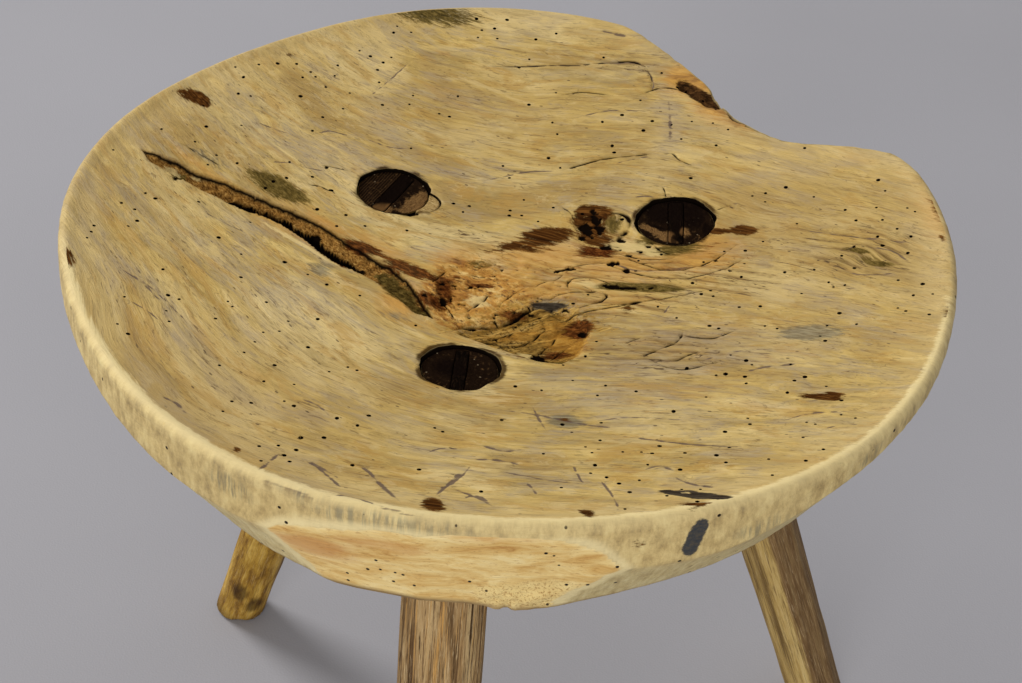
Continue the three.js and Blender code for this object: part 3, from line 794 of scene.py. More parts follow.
def plain_top(x, y):
    """Height of the seat's upper surface before anything is cut, torn or bored in it."""
    reach = np.hypot(x, y)
    azimuth = np.degrees(np.arctan2(y, x))
    away = edge_radius(azimuth) - reach
    crest = 0.6 * smooth(5, 0, away) * smooth(160, 172, reach)
    height = dish(x, y) + crest
    height = height + smooth(0, 14, away) * 0.55 * fractal(x / 34, y / 26, 0, 2, 1)
    height = height + smooth(0, 6, away) * 0.16 * fractal(x / 9, y / 5, 0, 2, 2)
    along, across, _ = grain_of(x, y, np.full(x.shape, float(RIM_HEIGHT))).T
    height = height + smooth(0, 8, away) * 0.5 * fractal(along / 60, across / 6.5, 0, 2, 3)
    return np.minimum(height, RIM_HEIGHT - 0.05)


def below_top(depth):
    """The surface that lies so far below the plain top, as a function of x and y."""
    return lambda x, y: plain_top(x, y) - depth


def sink_heart(x, y, height):
    """The soft heart: hollow and crumbled, torn in its dark part, and pitted. Gives how dark it is too:
    painted shade in its pits, and its black pits and rims.
    """
    inside = polygon_depth(x, y, HEART_LINE) + 2.2 * fractal(x / 6, y / 4, 0, 2, 31)
    hollow = smooth(-3, 9, inside)
    crumble = fractal(x / 9, y / 2.8 - x / 9, 0, 3, 32)
    height = height - hollow * (1.5 + 0.8 * crumble)
    sunk = polygon_depth(x, y, HEART_DARK_LINE)
    fibre_x, fibre_y = turned(x, y, HEART_SLANT)
    ridges = np.clip(fractal(fibre_x / 12, fibre_y / 2.0, 0, 2, 36), 0, 1)
    height = height - (1.4 + 0.9 * ridges) * smooth(-0.6, 1.6, sunk)
    crowded = smooth(-0.1, 0.5, fractal(x / 11, y / 8, 0, 2, 35))
    pits = smooth(0.55, 0.8, noise(x / 1.5, y / 1.3, 0, 33)) * smooth(1, 5, inside) * crowded
    height = height - 0.9 * pits
    blobs = smooth(0.44, 0.58, patches(x, y, BLACK) + 0.16 * fractal(x / 2.4, y / 1.8, 0, 3, 34))
    # Pits are painted dark as painted shade; the black pits and rims are dark too.
    return height - 0.8 * blobs, np.maximum(0.85 * pits, blobs)


def open_split(x, y, height, dark):
    """The long drying split: a torn floor, a deep trough along the middle of its lower lip with painted
    shadow on its near face, and painted shadow along the lips.
    """
    deep = polygon_depth(x, y, SPLIT_LINE)
    away_low, along = distance_to_line(x, y, LOWER_LINE)
    opened = smooth(0.0, 0.12, along) * smooth(1.02, 0.9, along)
    floor = (1.9 + 0.8 * fractal(x / 2.2, y / 2.0, 0, 3, 41)) * opened + 0.6
    floor = floor + 1.6 * smooth(0.7, 1.0, along)
    near_low = smooth(6.4, 5.2, away_low + 0.8 * noise(x / 4, y / 4, 0, 42))
    near_low = near_low * smooth(0.26, 0.36, along) * smooth(0.74, 0.64, along)
    floor = floor + 4.5 * near_low
    height = height - np.where(deep > 0, smooth(0, 0.9, deep) * floor, 0)
    torn = 0.7 * noise(x / 3, y / 3, 0, 42)
    # Painted shadow on the trough's near face, and a thin painted shadow along the lips of the split.
    dark = np.maximum(dark, smooth(0, 0.25, near_low) * (deep > 0))
    lip_shadow = smooth(1.7 + torn, 0.6, deep) * smooth(0, 0.35, deep)
    dark = np.maximum(dark, lip_shadow * np.where(away_low < deep + 0.05, 0.45, 0.75))
    return height + 0.35 * smooth(-5, -0.4, deep) * (deep <= 0), dark


def seat_top(x, y):
    """Height of the seat's upper surface and how dark each place is, mostly painted shade in its cracks,
    pits, beetle holes and split.
    """
    height = plain_top(x, y) - 0.5 * swirl_at(x, y)
    wane = smooth(0.3, 0.8, patches(x, y, BARK))
    height = height - wane * (1.6 + 1.0 * fractal(x / 3, y / 3, 0, 2, 21))
    height, dark = sink_heart(x, y, height)
    height, dark = open_split(x, y, height, dark)
    # Cracks are painted dark inside, as painted shade.
    for depth, shade, near, cut in lines_near(x, y, CRACK_LINES):
        height[near] -= depth * cut
        dark[near] = np.maximum(dark[near], shade * cut)
    for depth, _, near, cut in lines_near(x, y, CUT_LINES):
        height[near] -= depth * cut
    # Beetle holes are painted dark inside and just past their mouths, as painted shade.
    for hx, hy, size, depth in WORMS:
        near = (np.abs(x - hx) < 1.2) & (np.abs(y - hy) < 1.2)
        far = np.hypot(x[near] - hx, y[near] - hy)
        height[near] -= depth * smooth(size * 0.97, size * 0.82, far)
        dark[near] = np.maximum(dark[near], smooth(size * 1.14, size, far))
    return height, dark


# Side of the seat

COLUMNS = 720
# The axe cut leaves the first rings alone, and the bay's wall turns down over the first few
FACET_FROM = 3
TURN_RINGS = 6


def side_profile():
    """Offset from the rim's radius and height, from the top of the rim down to the underside."""
    points = []
    for turn in np.radians(np.linspace(90, 0, 7)):
        points.append((RIM_ROUND * (math.cos(turn) - 1), RIM_HEIGHT + RIM_ROUND * (math.sin(turn) - 1)))
    lean = math.atan2(UNDERCUT, SLAB - BAND)
    low_reach = -UNDERCUT - LOWER_ROUND
    corner = [(low_reach + LOWER_ROUND * math.cos(t), UNDERSIDE + LOWER_ROUND + LOWER_ROUND * math.sin(t))
              for t in np.linspace(-lean, -math.pi / 2, 5)]
    for height in np.linspace(RIM_HEIGHT - RIM_ROUND, RIM_HEIGHT - BAND, 14)[1:]:
        points.append((0, height))
    for t in np.linspace(0, 1, 18)[1:]:
        points.append((lerp(0, corner[0][0], t), lerp(RIM_HEIGHT - BAND, corner[0][1], t)))
    return points + corner[1:]


def leveled(nominal, band_foot):
    """Height of a profile point where the upright band ends at band_foot."""
    shoulder = RIM_HEIGHT - RIM_ROUND
    if nominal >= shoulder:
        return nominal
    if nominal >= RIM_HEIGHT - BAND:
        return lerp(shoulder, band_foot, (shoulder - nominal) / (BAND - RIM_ROUND))
    return lerp(UNDERSIDE, band_foot, (nominal - UNDERSIDE) / (SLAB - BAND))


def side_rings():
    """Loops round the seat, from the edge of its top down its side to its underside."""
    azimuth = turns(COLUMNS)
    edge = edge_radius(azimuth)
    top_xy = polar(azimuth, edge)
    top_z, _ = seat_top(*top_xy.T)
    rings = [np.column_stack([top_xy, top_z])]
    under = (SEAT_RADIUS - np.interp(azimuth, *zip(*LOWER_EDGE))) / (UNDERCUT + LOWER_ROUND)
    under = softened(under, 60)
    band_foot = RIM_HEIGHT - BAND * softened(np.interp(azimuth, *zip(*BAND_SHARES)), 40)
    for k, (offset, nominal) in enumerate(side_profile()[1:], 1):
        height = UNDERSIDE + (leveled(nominal, band_foot) - UNDERSIDE) * (top_z - UNDERSIDE) / SLAB
        offset = offset * (under if nominal < RIM_HEIGHT - BAND else 1)
        turning = min(1, k / TURN_RINGS)
        rounding = -BAY_ROUND * (1 - math.sin(turning * math.pi / 2))
        side = rim_radius(azimuth) + offset
        bark = fractal(azimuth * 0.35, height / 5, 0, 3, 61)
        bay = bay_radius(azimuth, height) + rounding - 0.9 * turning * np.abs(bark)
        reach = softmin(side, bay, 0.8)
        low = smooth(RIM_HEIGHT - BAND + 3, RIM_HEIGHT - BAND - 8, height)
        hewn = fractal(azimuth * 0.09, height / 16, 0, 2, 62)
        fine = fractal(azimuth * 0.9, height / 2.4, 0, 2, 63)
        wear = turning * (0.18 + 0.14 * fine + lerp(0.3, 0.6, low) * (0.5 + 0.5 * hewn))
        reach = reach - np.maximum(wear, 0.05)
        rings.append(np.column_stack([polar(azimuth, reach), height]))
    out = polar(FACET_AZIMUTH, 1.0)
    for ring in rings[FACET_FROM:]:
        reach = ring[:, :2] @ out
        cut = softmin(reach, facet_reach(*ring.T), 0.35)
        ring[:, :2] += np.outer(np.minimum(cut - reach, 0), out)
    return rings


def facet_reach(x, y, z):
    """How far out the axe cut lies at each place, along the direction that it faces."""
    turn = turn_from(np.degrees(np.arctan2(y, x)), FACET_AZIMUTH)
    flat = SEAT_RADIUS - FACET_INSET - (RIM_HEIGHT - FACET_TOP - z) * math.tan(math.radians(FACET_LEAN))
    flat = flat + np.interp(turn, *zip(*FACET_SWELL)) + 0.12 * fractal(x / 12, z / 6, 0, 3, 64)
    flat = flat + np.interp(turn, *zip(*FACET_ARCH)) * smooth(UNDERSIDE + 8, RIM_HEIGHT - 12, z)
    crumble = smooth(-8, 6, x) * smooth(44, 34, x) * smooth(276, 264, z)
    return flat - crumble * (0.9 + 1.3 * fractal(x / 3, z / 3, 0, 2, 65)) + 2.6 * crumble


# Holes for the legs

class LegFrame:
    """The foot of a leg and its axes: x towards an azimuth, y, and up its length."""

    def __init__(self, leg, azimuth):
        tenon = np.append(polar(leg["tenon_azimuth"], leg["tenon_reach"]), 0)
        tenon[2] = dish(tenon[0], tenon[1])
        side = np.append(polar(leg["splay"], tenon[2] * math.tan(math.radians(leg["lean"]))), 0)
        self.foot = np.array([tenon[0] + side[0], tenon[1] + side[1], 0])
        up = tenon - self.foot
        self.up = up / np.linalg.norm(up)
        facing = np.append(polar(azimuth, 1.0), 0)
        x = facing - self.up * (facing @ self.up)
        self.x = x / np.linalg.norm(x)
        self.y = np.cross(self.up, self.x)

    def turn_of(self, other):
        """Turn of another frame's x axis in this one, in radians."""
        return math.atan2(other.x @ self.y, other.x @ self.x)

    def spokes(self, turn, radius):
        """Offsets from the leg's axis, square to it, at turns in degrees."""
        way = np.cos(np.radians(turn))[:, None] * self.x + np.sin(np.radians(turn))[:, None] * self.y
        return way * radius[:, None]

    def offsets(self, plane):
        return plane[:, :1] * self.x + plane[:, 1:] * self.y

    def at(self, offsets, distance):
        """Places at offsets from the leg's axis and a distance up it."""
        return self.foot + offsets + self.up * distance[:, None]

    def climb(self, offsets, surface):
        """How far up lines along the leg meet a surface, given as a function of x and y."""
        distance = np.full(len(offsets), 300.0)
        for _ in range(8):
            spot = self.at(offsets, distance)
            distance = distance + (surface(spot[:, 0], spot[:, 1]) - spot[:, 2]) / self.up[2]
        return distance

    def place(self, plane, surface, below):
        """Points of the plane square to the leg, put so far below a surface, straight along the leg."""
        offsets = self.offsets(plane)
        return self.at(offsets, self.climb(offsets, surface) - below)

    def to_floor(self, offsets):
        """How far up lines along the leg leave the floor."""
        return -offsets[:, 2] / self.up[2]

    def local(self, points):
        away = points - self.foot
        return np.stack([away @ self.x, away @ self.y, away @ self.up], -1)


# Chips at the mouths of the three holes: direction in degrees in the leg's frame, how far, and how wide
CHIPS = {
    "left": [(-62, 1.8, 16), (-120, 0.8, 26), (150, 0.4, 20), (80, -0.25, 30)],
    "right": [(-80, 1.4, 34), (60, 0.7, 14), (120, 0.9, 8), (10, 0.8, 12), (-170, 0.5, 16)],
    "front": [(-100, 1.3, 9), (-60, 0.7, 12), (20, 0.6, 18), (140, 0.6, 14)],
}
BORE_SEGMENTS = 72

# Tan and black parts of the blackened tenon ends: middle in pixels, half sizes, turn and strength as above
TENON_TAN = [
    (415, 201, 8, 4.5, 66, 1), (420, 196, 6, 3.4, 66, 1), (381, 206, 6, 4, 30, 0.9),
    (404, 208, 5, 2.6, 10, 0.7), (421, 212, 1.4, 1.6, 0, 1), (657, 229, 8, 1.4, -32, 1),
    (666, 236, 6, 1.6, -34, 1), (650, 224, 5, 1.2, -34, 0.9), (667, 233, 4, 4, 0, 0.8),
    (645, 213, 3, 5, 0, 0.55), (685, 229, 2.4, 4, 0, 0.9), (698, 232, 4, 3, 0, 0.45),
    (480, 373, 5, 4, 0, 0.4),
]
TENON_BLACK = [
    (396, 187, 13, 3.4, 66, 1), (376, 176, 6, 5, 60, 0.4), (672, 207, 15, 9, 0, 1),
    (694, 216, 5, 7, 0, 0.9), (674, 238, 1.2, 4, 0, 1), (450, 365, 9, 9, 0, 0.8), (414, 214, 5, 1.8, 0, 1),
    (677, 224, 2, 5, 0, 0.9), (658, 224, 5, 1, -32, 0.9), (707, 226, 2, 6, 0, 0.9),
]


def shim_lobe(axes, leg, turn):
    """Reach of the hole's wall round the shim, at each turn in the leg's frame."""
    aim = math.degrees(axes.turn_of(LegFrame(leg, SHIM_AZIMUTH)))
    off = np.radians(turn_from(turn, aim))
    r = SHIM_RADIUS + CLEARANCE
    inside = np.clip(r * r - (SHIM_REACH * np.sin(off)) ** 2, 0, None)
    return np.where(np.abs(np.sin(off)) * SHIM_REACH < r, SHIM_REACH * np.cos(off) + np.sqrt(inside), 0)


def bore_rings(side):
    """Loops round a leg's hole, from its chipped mouth in the top down to the underside."""
    leg = LEGS[side]
    axes = LegFrame(leg, 0)
    turn = turns(BORE_SEGMENTS)
    base = np.full(BORE_SEGMENTS, leg["tenon"] / 2 + CLEARANCE)
    mouth = np.maximum(base, shim_lobe(axes, leg, turn)) if side == "left" else base
    chipped = mouth + 0.1 + 0.55 * np.abs(fractal(turn / 15, len(side), 0, 2, 71)) * (mouth <= base)
    for at, far, wide in CHIPS[side]:
        chipped = chipped + far * np.exp(-(turn_from(turn, at) / wide) ** 2)

    def ring(radius, surface, below):
        offsets = axes.spokes(turn, radius)
        return axes.at(offsets, axes.climb(offsets, surface) - below)

    def top(x, y):
        return seat_top(x, y)[0]

    def underside(x, y):
        return np.full(x.shape, float(UNDERSIDE))

    steps = [(chipped + 0.12, 0.0), (chipped, 0.3), (lerp(chipped, mouth, 0.5), 2.0), (mouth, 5.0)]
    if side == "left":
        steps += [(mouth, SHIM_DEPTH + CLEARANCE), (base, SHIM_DEPTH + CLEARANCE + 0.3)]
    return [ring(radius, top, below) for radius, below in steps] + [ring(base, underside, 0.0)]


# Seat mesh

FINE_STEP = 0.85
COARSE_STEP = 1.85
# The broken-up wood round the knot beside the right hole, which needs close points too
KNOT_MIDDLE = (603, 224)
KNOT_REACH = 16


class Room:
    """Which places of the seat's top are taken by points, on a fine grid."""

    def __init__(self, half, cell):
        self.half = half
        self.cell = cell
        self.size = int(2 * half / cell)
        self.taken = np.zeros((self.size, self.size), bool)

    def cells(self, points):
        return np.floor((points + self.half) / self.cell).astype(int)

    def claim(self, points, reach):
        at = self.cells(points)
        span = int(math.ceil(reach / self.cell))
        last = self.size - 1
        for i in range(-span, span + 1):
            for j in range(-span, span + 1):
                if math.hypot(i, j) * self.cell <= reach + 0.2:
                    self.taken[np.clip(at[:, 0] + i, 0, last), np.clip(at[:, 1] + j, 0, last)] = True

    def free(self, points):
        at = self.cells(points)
        return points[~self.taken[at[:, 0], at[:, 1]]]


def split_rows():
    """Points along both edges of the split, and along two lines beside each, where they lie inside it."""
    edges = [resampled(line, 0.9) for line in (UPPER_LINE, LOWER_LINE[1:-1])]
    beside = []
    for line in edges:
        for side in (-0.55, 0.55):
            row = line + normals(line) * side
            beside.append(row[polygon_depth(*row.T, SPLIT_LINE) > 0.3])
    return np.concatenate(edges + beside)


def needs_fine(x, y):
    """Where the top is so broken up that its points have to lie close together."""
    zone = polygon_depth(x, y, SPLIT_LINE) > -1.6
    zone |= polygon_depth(x, y, HEART_LINE) > -3
    zone |= patches(x, y, BARK) > 0.42
    for leg in LEGS.values():
        cx, cy = polar(leg["tenon_azimuth"], leg["tenon_reach"])
        zone |= np.hypot(x - cx, y - cy) < leg["tenon"] / 2 + 3.2
    cx, cy = on_dish([KNOT_MIDDLE])[0]
    zone |= np.hypot(x - cx, y - cy) < KNOT_REACH
    zone |= patches(x, y, BROWN + RED + PALE + BLACK) > 0.36
    return zone | (patches(x, y, WHIRL) > 0.6)


def seat_points(outer, holes):
    """Places of the top plate's inner points: even over the dish, and closer where it is broken up."""
    half = SEAT_RADIUS + 4
    room = Room(half, 0.5)

    def within(points, margin):
        azimuth = np.degrees(np.arctan2(points[:, 1], points[:, 0]))
        keep = np.hypot(*points.T) < edge_radius(azimuth) - margin
        for hole in holes:
            keep &= polygon_depth(*points.T, hole) < -margin * 0.6
        return points[keep]

    room.claim(outer, 0.7)
    for hole in holes:
        room.claim(resampled(np.concatenate([hole, hole[:1]]), 0.4), 0.4)
    rows = split_rows()
    chosen = [room.free(rows)]
    room.claim(rows, 0.35)

    for width, _, _, line in CRACK_LINES + CUT_LINES:
        middle = resampled(line, 0.4)
        across = normals(middle)
        for side in (0, -0.5, 0.5):
            row = (middle + across * side * width * 1.1)[::2 if side else 1]
            chosen.append(within(room.free(row), 0.6))
        room.claim(middle, 0.7)

    ring = polar(np.arange(8) * 45, 1.0)
    for hx, hy, size, _ in WORMS:
        spot = np.array([[hx, hy]])
        room.claim(spot, size + 0.35)
        chosen += [spot + share * size * ring for share in (1.16, 0.98, 0.8)] + [spot]

    fine = lattice(FINE_STEP, half - 1, 81)
    fine = fine[needs_fine(*fine.T)]
    chosen.append(within(room.free(fine), 0.8))
    room.claim(fine, 0.8)
    chosen.append(within(room.free(lattice(COARSE_STEP, half - 1, 82)), 1.3))
    return np.concatenate(chosen)


def under_points(last_ring, holes):
    """Inner points of the underside, which is gouged except along the rim and round the legs."""
    points = lattice(3.4, SEAT_RADIUS, 83)
    reach = np.hypot(*points.T)
    last = np.hypot(*last_ring[:, :2].T)
    limit = np.interp(np.degrees(np.arctan2(points[:, 1], points[:, 0])) % 360,
                      np.arange(COLUMNS + 1) * 360 / COLUMNS, np.append(last, last[0]))
    keep = reach < limit - 2.4
    for hole in holes:
        keep &= polygon_depth(*points.T, hole) < -1.6
    x, y = points[keep].T
    gouges = np.abs(fractal(x / 40, y / 16, 0, 2, 84))
    near_leg = np.ones(len(x))
    for hole in holes:
        near_leg = np.minimum(near_leg, smooth(2, 12, -polygon_depth(x, y, hole)))
    near_rim = smooth(2, 12, limit[keep] - reach[keep])
    return np.column_stack([x, y, UNDERSIDE + 1.6 * gouges * near_leg * near_rim])


def paint_seat(data, p, inner, loops, bores):
    """Gives every point of the seat the values that its material asks for."""
    x, y, z = p.T
    reach = np.hypot(x, y)
    azimuth = np.degrees(np.arctan2(y, x)) % 360
    mouths = [bore[0] for bore in bores.values()]
    top = ones_at(len(p), inner, loops[0], *mouths)
    below = 1 - top
    upright = below * smooth(UNDERSIDE + 2, UNDERSIDE + 10, z)
    paint(data, "grain", grain_of(x, y, z))
    paint(data, "slant", np.stack([*turned(x, y, HEART_SLANT), z], -1))
    paint(data, "around", np.stack([np.radians(azimuth) * SEAT_RADIUS, z, reach], -1))

    # Stains
    for name, spots in TOP_MARKS.items():
        paint(data, name, patches(x, y, spots) * top)
    for name, (spots, side_spots) in TOP_AND_SIDE_MARKS.items():
        paint(data, name, patches(x, y, spots) * top + side_patches(azimuth, z, side_spots) * upright)
    for name, spots in SIDE_MARKS.items():
        paint(data, name, side_patches(azimuth, z, spots) * upright)

    # Heart, split and swirled wood
    paint(data, "swirl", swirl_at(x, y) * top)
    paint(data, "heart", smooth(-6, 5, polygon_depth(x, y, HEART_SOFT_LINE)) * top)
    torn = polygon_depth(x, y, HEART_DARK_LINE)
    mid_x, mid_y = on_dish([TORN_MIDDLE])[0]
    behind = smooth(-2, 6, y - mid_y - 0.1 * (x - mid_x))
    paint(data, "core", np.maximum(smooth(-3, 4, torn), 0.5 * smooth(-22, 0, torn) * behind) * top)
    paint(data, "split", smooth(-0.6, 1.2, polygon_depth(x, y, SPLIT_LINE)) * top)

    # Cuts, painted shade in what is cut or bored deep, and the grime round the tenons with painted shade down
    # their holes
    cuts = np.zeros(len(p))
    for _, strength, near, cut in lines_near(x, y, CUT_LINES):
        cuts[near] = np.maximum(cuts[near], strength * cut)
    paint(data, "cut", cuts * np.maximum(top, smooth(RIM_HEIGHT - 5, RIM_HEIGHT - 2.5, z)))
    dark = np.where(top > 0, seat_top(x, y)[1], 0)
    grime_and_shade = np.zeros(len(p))
    for bore, strength in zip(bores.values(), (0.6, 1.1, 1.0)):
        outside = -polygon_depth(x, y, p[bore[0]][:, :2])
        uneven = strength * (0.75 + 0.7 * noise(x / 7, y / 7, 0, 44))
        grime_and_shade = np.maximum(grime_and_shade, np.clip(uneven, 0, 1) * smooth(3.6, 0, outside) * smooth(-3, 0, outside))
    # Painted shade down the walls of the holes, darker further down.
    for bore in bores.values():
        grime_and_shade[np.concatenate(bore[1:])] = 1
        for depth, row in enumerate(bore[1:], 1):
            spots = noise(turns(BORE_SEGMENTS) / 24, depth, 0, 46)
            dark[row] = np.clip(0.4 + 0.3 * depth + 0.35 * spots, 0, 1)
    paint(data, "dark", dark)
    paint(data, "grime_and_shade", grime_and_shade)

    # The axe cut, with a painted highlight along its edge and its crumbly right end
    away = facet_reach(x, y, z) - p[:, :2] @ polar(FACET_AZIMUTH, 1.0)
    fresh = smooth(0.9, 0.35, away) * smooth(RIM_HEIGHT - 1, RIM_HEIGHT - 3, z) * below
    fresh = fresh * (z > UNDERSIDE + 0.5)
    paint(data, "fresh", fresh)
    # A painted highlight along the edge of the axe cut, on the near side.
    arris_highlight = smooth(0.35, 0.8, away) * smooth(2.8, 1.2, away) * (z > UNDERSIDE + 1) * (y < -60)
    paint(data, "arris_highlight", arris_highlight * below * smooth(RIM_HEIGHT - 4, RIM_HEIGHT - 9, z))
    crumbs = smooth(-12, 2, x) * smooth(46, 36, x) * smooth(280, 270, z + 3 * noise(x / 8, 0, 0, 47))
    paint(data, "crumbly", fresh * crumbs)

    # Bay, painted highlight on the front crest, paler band along the rim, bevel, and painted shade on the
    # underside
    bay = smooth(4, 1, np.abs(reach - bay_radius(azimuth, z))) * (rim_radius(azimuth) - reach > 3)
    bay = bay * smooth(RIM_HEIGHT - 1, RIM_HEIGHT - 6, z) * below
    paint(data, "bark", np.maximum(patches(x, y, BARK) * top, bay))
    arris = edge_radius(azimuth) + 1.2 - reach
    # A painted highlight on the crest, strongest at the front and fading towards the back.
    paint(data, "rim", smooth(5.5, 1.0, np.abs(arris)) * (smooth(10, -70, y) * smooth(302, 307.5, z)))
    paint(data, "near_rim", smooth(24, 4, np.abs(arris)) * smooth(290, 306, z))
    bevel = np.zeros(len(p))
    for loop, (_, nominal) in zip(loops, side_profile()):
        bevel[loop] = smooth(RIM_HEIGHT - BAND, RIM_HEIGHT - BAND - 6, nominal)
    paint(data, "bevel", bevel)
    paint(data, "side", below * smooth(RIM_HEIGHT + 1, RIM_HEIGHT - 3, z))
    # Painted shade on the underside and the lowest few millimetres of the side.
    paint(data, "under", smooth(UNDERSIDE + 3, UNDERSIDE + 0.5, z) * below)


def build_seat():
    shell = Shell()
    rings = side_rings()
    loops = [shell.add(r) for r in rings]
    bores = {side: [shell.add(r) for r in bore_rings(side)] for side in LEGS}
    points = shell.all_points()
    mouths = [bore[0] for bore in bores.values()]
    lower_mouths = [bore[-1] for bore in bores.values()]
    inner_xy = seat_points(rings[0][:, :2], [points[m][:, :2] for m in mouths])
    inner_z, _ = seat_top(*inner_xy.T)
    inner = shell.add(np.column_stack([inner_xy, inner_z]))
    under = shell.add(under_points(rings[-1], [points[m][:, :2] for m in lower_mouths]))
    flat = shell.all_points()[:, :2]
    shell.plate(loops[0], mouths, inner, flat)
    shell.wall(loops, from_above=True)
    for bore in bores.values():
        shell.wall(bore)
    shell.plate(loops[-1], lower_mouths, under, flat, facing_up=False)
    data = shell.mesh("seat_wood")
    paint_seat(data, shell.all_points(), inner, loops, bores)
    return data


# Legs

LEG_SEGMENTS = 96
LEG_ROWS = 168
TENON_ROWS = 16
FOOT_ROUND = 1.6
# A flat on the left foot: its direction and width in degrees, and its depth
FOOT_CHIP = (126, 14, 1.8)
# Patterns and knots on every leg are laid out round a leg of this radius
SKIN_RADIUS = 14
# Points in the outline of a wedge and of its kerf
BAR_POINTS = 72
NO_POINTS = np.array([], int)


def polygon_radius(corners, turn):
    """Distance from the middle to the side of a polygon, given by corners, at each turn in degrees."""
    points = np.array(corners)
    angle = np.radians(turn)
    ray = np.stack([np.cos(angle), np.sin(angle)], -1)
    best = np.zeros(len(angle))
    for a, b in zip(points, np.roll(points, -1, 0)):
        edge = b - a
        cross = ray[:, 0] * edge[1] - ray[:, 1] * edge[0]
        t = (a[0] * edge[1] - a[1] * edge[0]) / np.where(np.abs(cross) < 1e-9, 1e-9, cross)
        s = (a[0] * ray[:, 1] - a[1] * ray[:, 0]) / np.where(np.abs(cross) < 1e-9, 1e-9, cross)
        hit = (s >= -1e-6) & (s <= 1 + 1e-6) & (t > 0)
        best = np.where(hit, t, best)
    return best


def branch_section(turn):
    return 1 - 0.02 * (1 + noise(turn / 60, 0, 0, 91))


def billet_section(turn):
    return softened(polygon_radius([polar(a, r) for a, r in BILLET], turn), 2)


def hewn_section(turn):
    h, b = HEWN_DEPTH, HEWN_BEVEL * 2
    half = [(h, b - 1), (h, 1 - b), (h - b, 1), (b - h, 1)]
    corners = half + [(-x, -y) for x, y in half]
    return softened(polygon_radius(corners, turn), 2)


SECTIONS = {"left": branch_section, "right": billet_section, "front": hewn_section}

# Knots on the legs: turn in degrees, share of the length, size in millimetres, how far they stand out
KNOTS = {
    "left": [(104, 0.1, 6, 1.2), (146, 0.07, 6, 1.0), (120, 0.3, 5, 0.6), (250, 0.16, 9, 1.2),
             (320, 0.55, 8, 1.0), (40, 0.74, 7, 0.8), (200, 0.5, 6, 0.6)],
    "right": [(150, 0.4, 9, 0.7)],
    "front": [(200, 0.3, 7, 0.4)],
}


def rounded_bar(half_long, half_wide, corner, count):
    """A closed line round a bar that lies along X, anticlockwise. Its sides swell a little."""
    corner = min(corner, half_wide * 0.95)
    flat_x, flat_y = half_long - corner, half_wide - corner
    arc = math.pi / 2 * corner
    sides = [2 * flat_y, arc, 2 * flat_x, arc, 2 * flat_y, arc, 2 * flat_x, arc]
    ends = np.cumsum([0, *sides])
    centres = [(flat_x, flat_y), (-flat_x, flat_y), (-flat_x, -flat_y), (flat_x, -flat_y)]
    starts = [(half_long, -flat_y), (flat_x, half_wide), (-half_long, flat_y), (-flat_x, -half_wide)]
    ways = [(0, 1), (-1, 0), (0, -1), (1, 0)]
    out = []
    for distance in np.linspace(0, ends[-1], count, endpoint=False):
        k = min(7, int(np.searchsorted(ends, distance, side="right")) - 1)
        rest = distance - ends[k]
        q = k // 2
        if k % 2 == 0:
            out.append((starts[q][0] + ways[q][0] * rest, starts[q][1] + ways[q][1] * rest))
        else:
            a = q * math.pi / 2 + rest / corner
            out.append((centres[q][0] + corner * math.cos(a), centres[q][1] + corner * math.sin(a)))
    out = np.array(out)
    swell = 0.1 * (1 - (out / [half_long, half_wide]) ** 2)
    return out + np.sign(out) * swell[:, ::-1] * (np.abs(out) > [0.5 * half_long, 0.5 * half_wide])


def shoulder_of(leg):
    """Length of a leg from its foot to the underside of the seat."""
    return UNDERSIDE / math.cos(math.radians(leg["lean"]))


def leg_rows(side, axes, turn):
    """Loops up a leg, from its sole to the top of its tenon, and the least reach of its sole."""
    leg = LEGS[side]
    shoulder = shoulder_of(leg)
    section = SECTIONS[side](turn)

    def radius(distance):
        """Half thickness round the leg at a distance from the foot."""
        thick = lerp(leg["foot"], leg["top"], distance / shoulder) / 2
        sway = noise(distance / 90, 0, 0, 92) * 0.03 * thick * np.cos(np.radians(turn - 140))
        ridges = 0.16 * noise(turn / 4.2, distance / 46, 0, 93) + 0.12 * noise(turn / 9, distance / 20, 0, 94)
        facets = 0.28 * noise(turn / 30, distance / 24, 0, 95)
        body = thick * section + sway - 0.3 + ridges + facets
        for at, share, size, out in KNOTS[side]:
            d = turn_from(turn, at) * thick * math.pi / 180
            far = np.hypot(d, (distance - share * shoulder) * 0.7)
            body = body + out * np.exp(-(far / size) ** 2) - 0.7 * out * np.exp(-(far / (size * 0.3)) ** 2)
        return body

    def row(radii, distance):
        return axes.at(axes.spokes(turn, radii), distance)

    base = radius(np.zeros(LEG_SEGMENTS)) - FOOT_ROUND
    if side == "left":
        at, wide, depth = FOOT_CHIP
        base = base - depth * np.exp(-(turn_from(turn, at) / wide) ** 2)
    rows = [row(base, axes.to_floor(axes.spokes(turn, base)))]
    for t in (0.25, 0.5, 0.75, 1.0):
        rounded = base + FOOT_ROUND * math.sin(t * math.pi / 2)
        floor = axes.to_floor(axes.spokes(turn, rounded))
        start = floor + FOOT_ROUND * (1 - math.cos(t * math.pi / 2)) + 0.05
        rows.append(row(rounded, start))
    under_seat = UNDERSIDE - CLEARANCE
    for t in np.linspace(0, 1, LEG_ROWS)[1:]:
        distance = lerp(start, shoulder, t)
        radii = radius(distance)
        over = row(radii, distance)[:, 2] - under_seat
        rows.append(row(radii, np.where(over > 0, distance - over / axes.up[2], distance)))
    tenon = np.full(LEG_SEGMENTS, leg["tenon"] / 2)
    spokes = axes.spokes(turn, tenon)
    collar = (under_seat + 0.02 - (axes.foot + spokes)[:, 2]) / axes.up[2]
    top = axes.climb(spokes, below_top(TENON_RECESS))
    rows.append(row(tenon, collar))
    for t in np.linspace(0, 1, TENON_ROWS)[1:]:
        rows.append(row(tenon, lerp(collar, top - 0.6, t)))
    rows.append(row(tenon - 0.35, top))
    return rows, base.min()


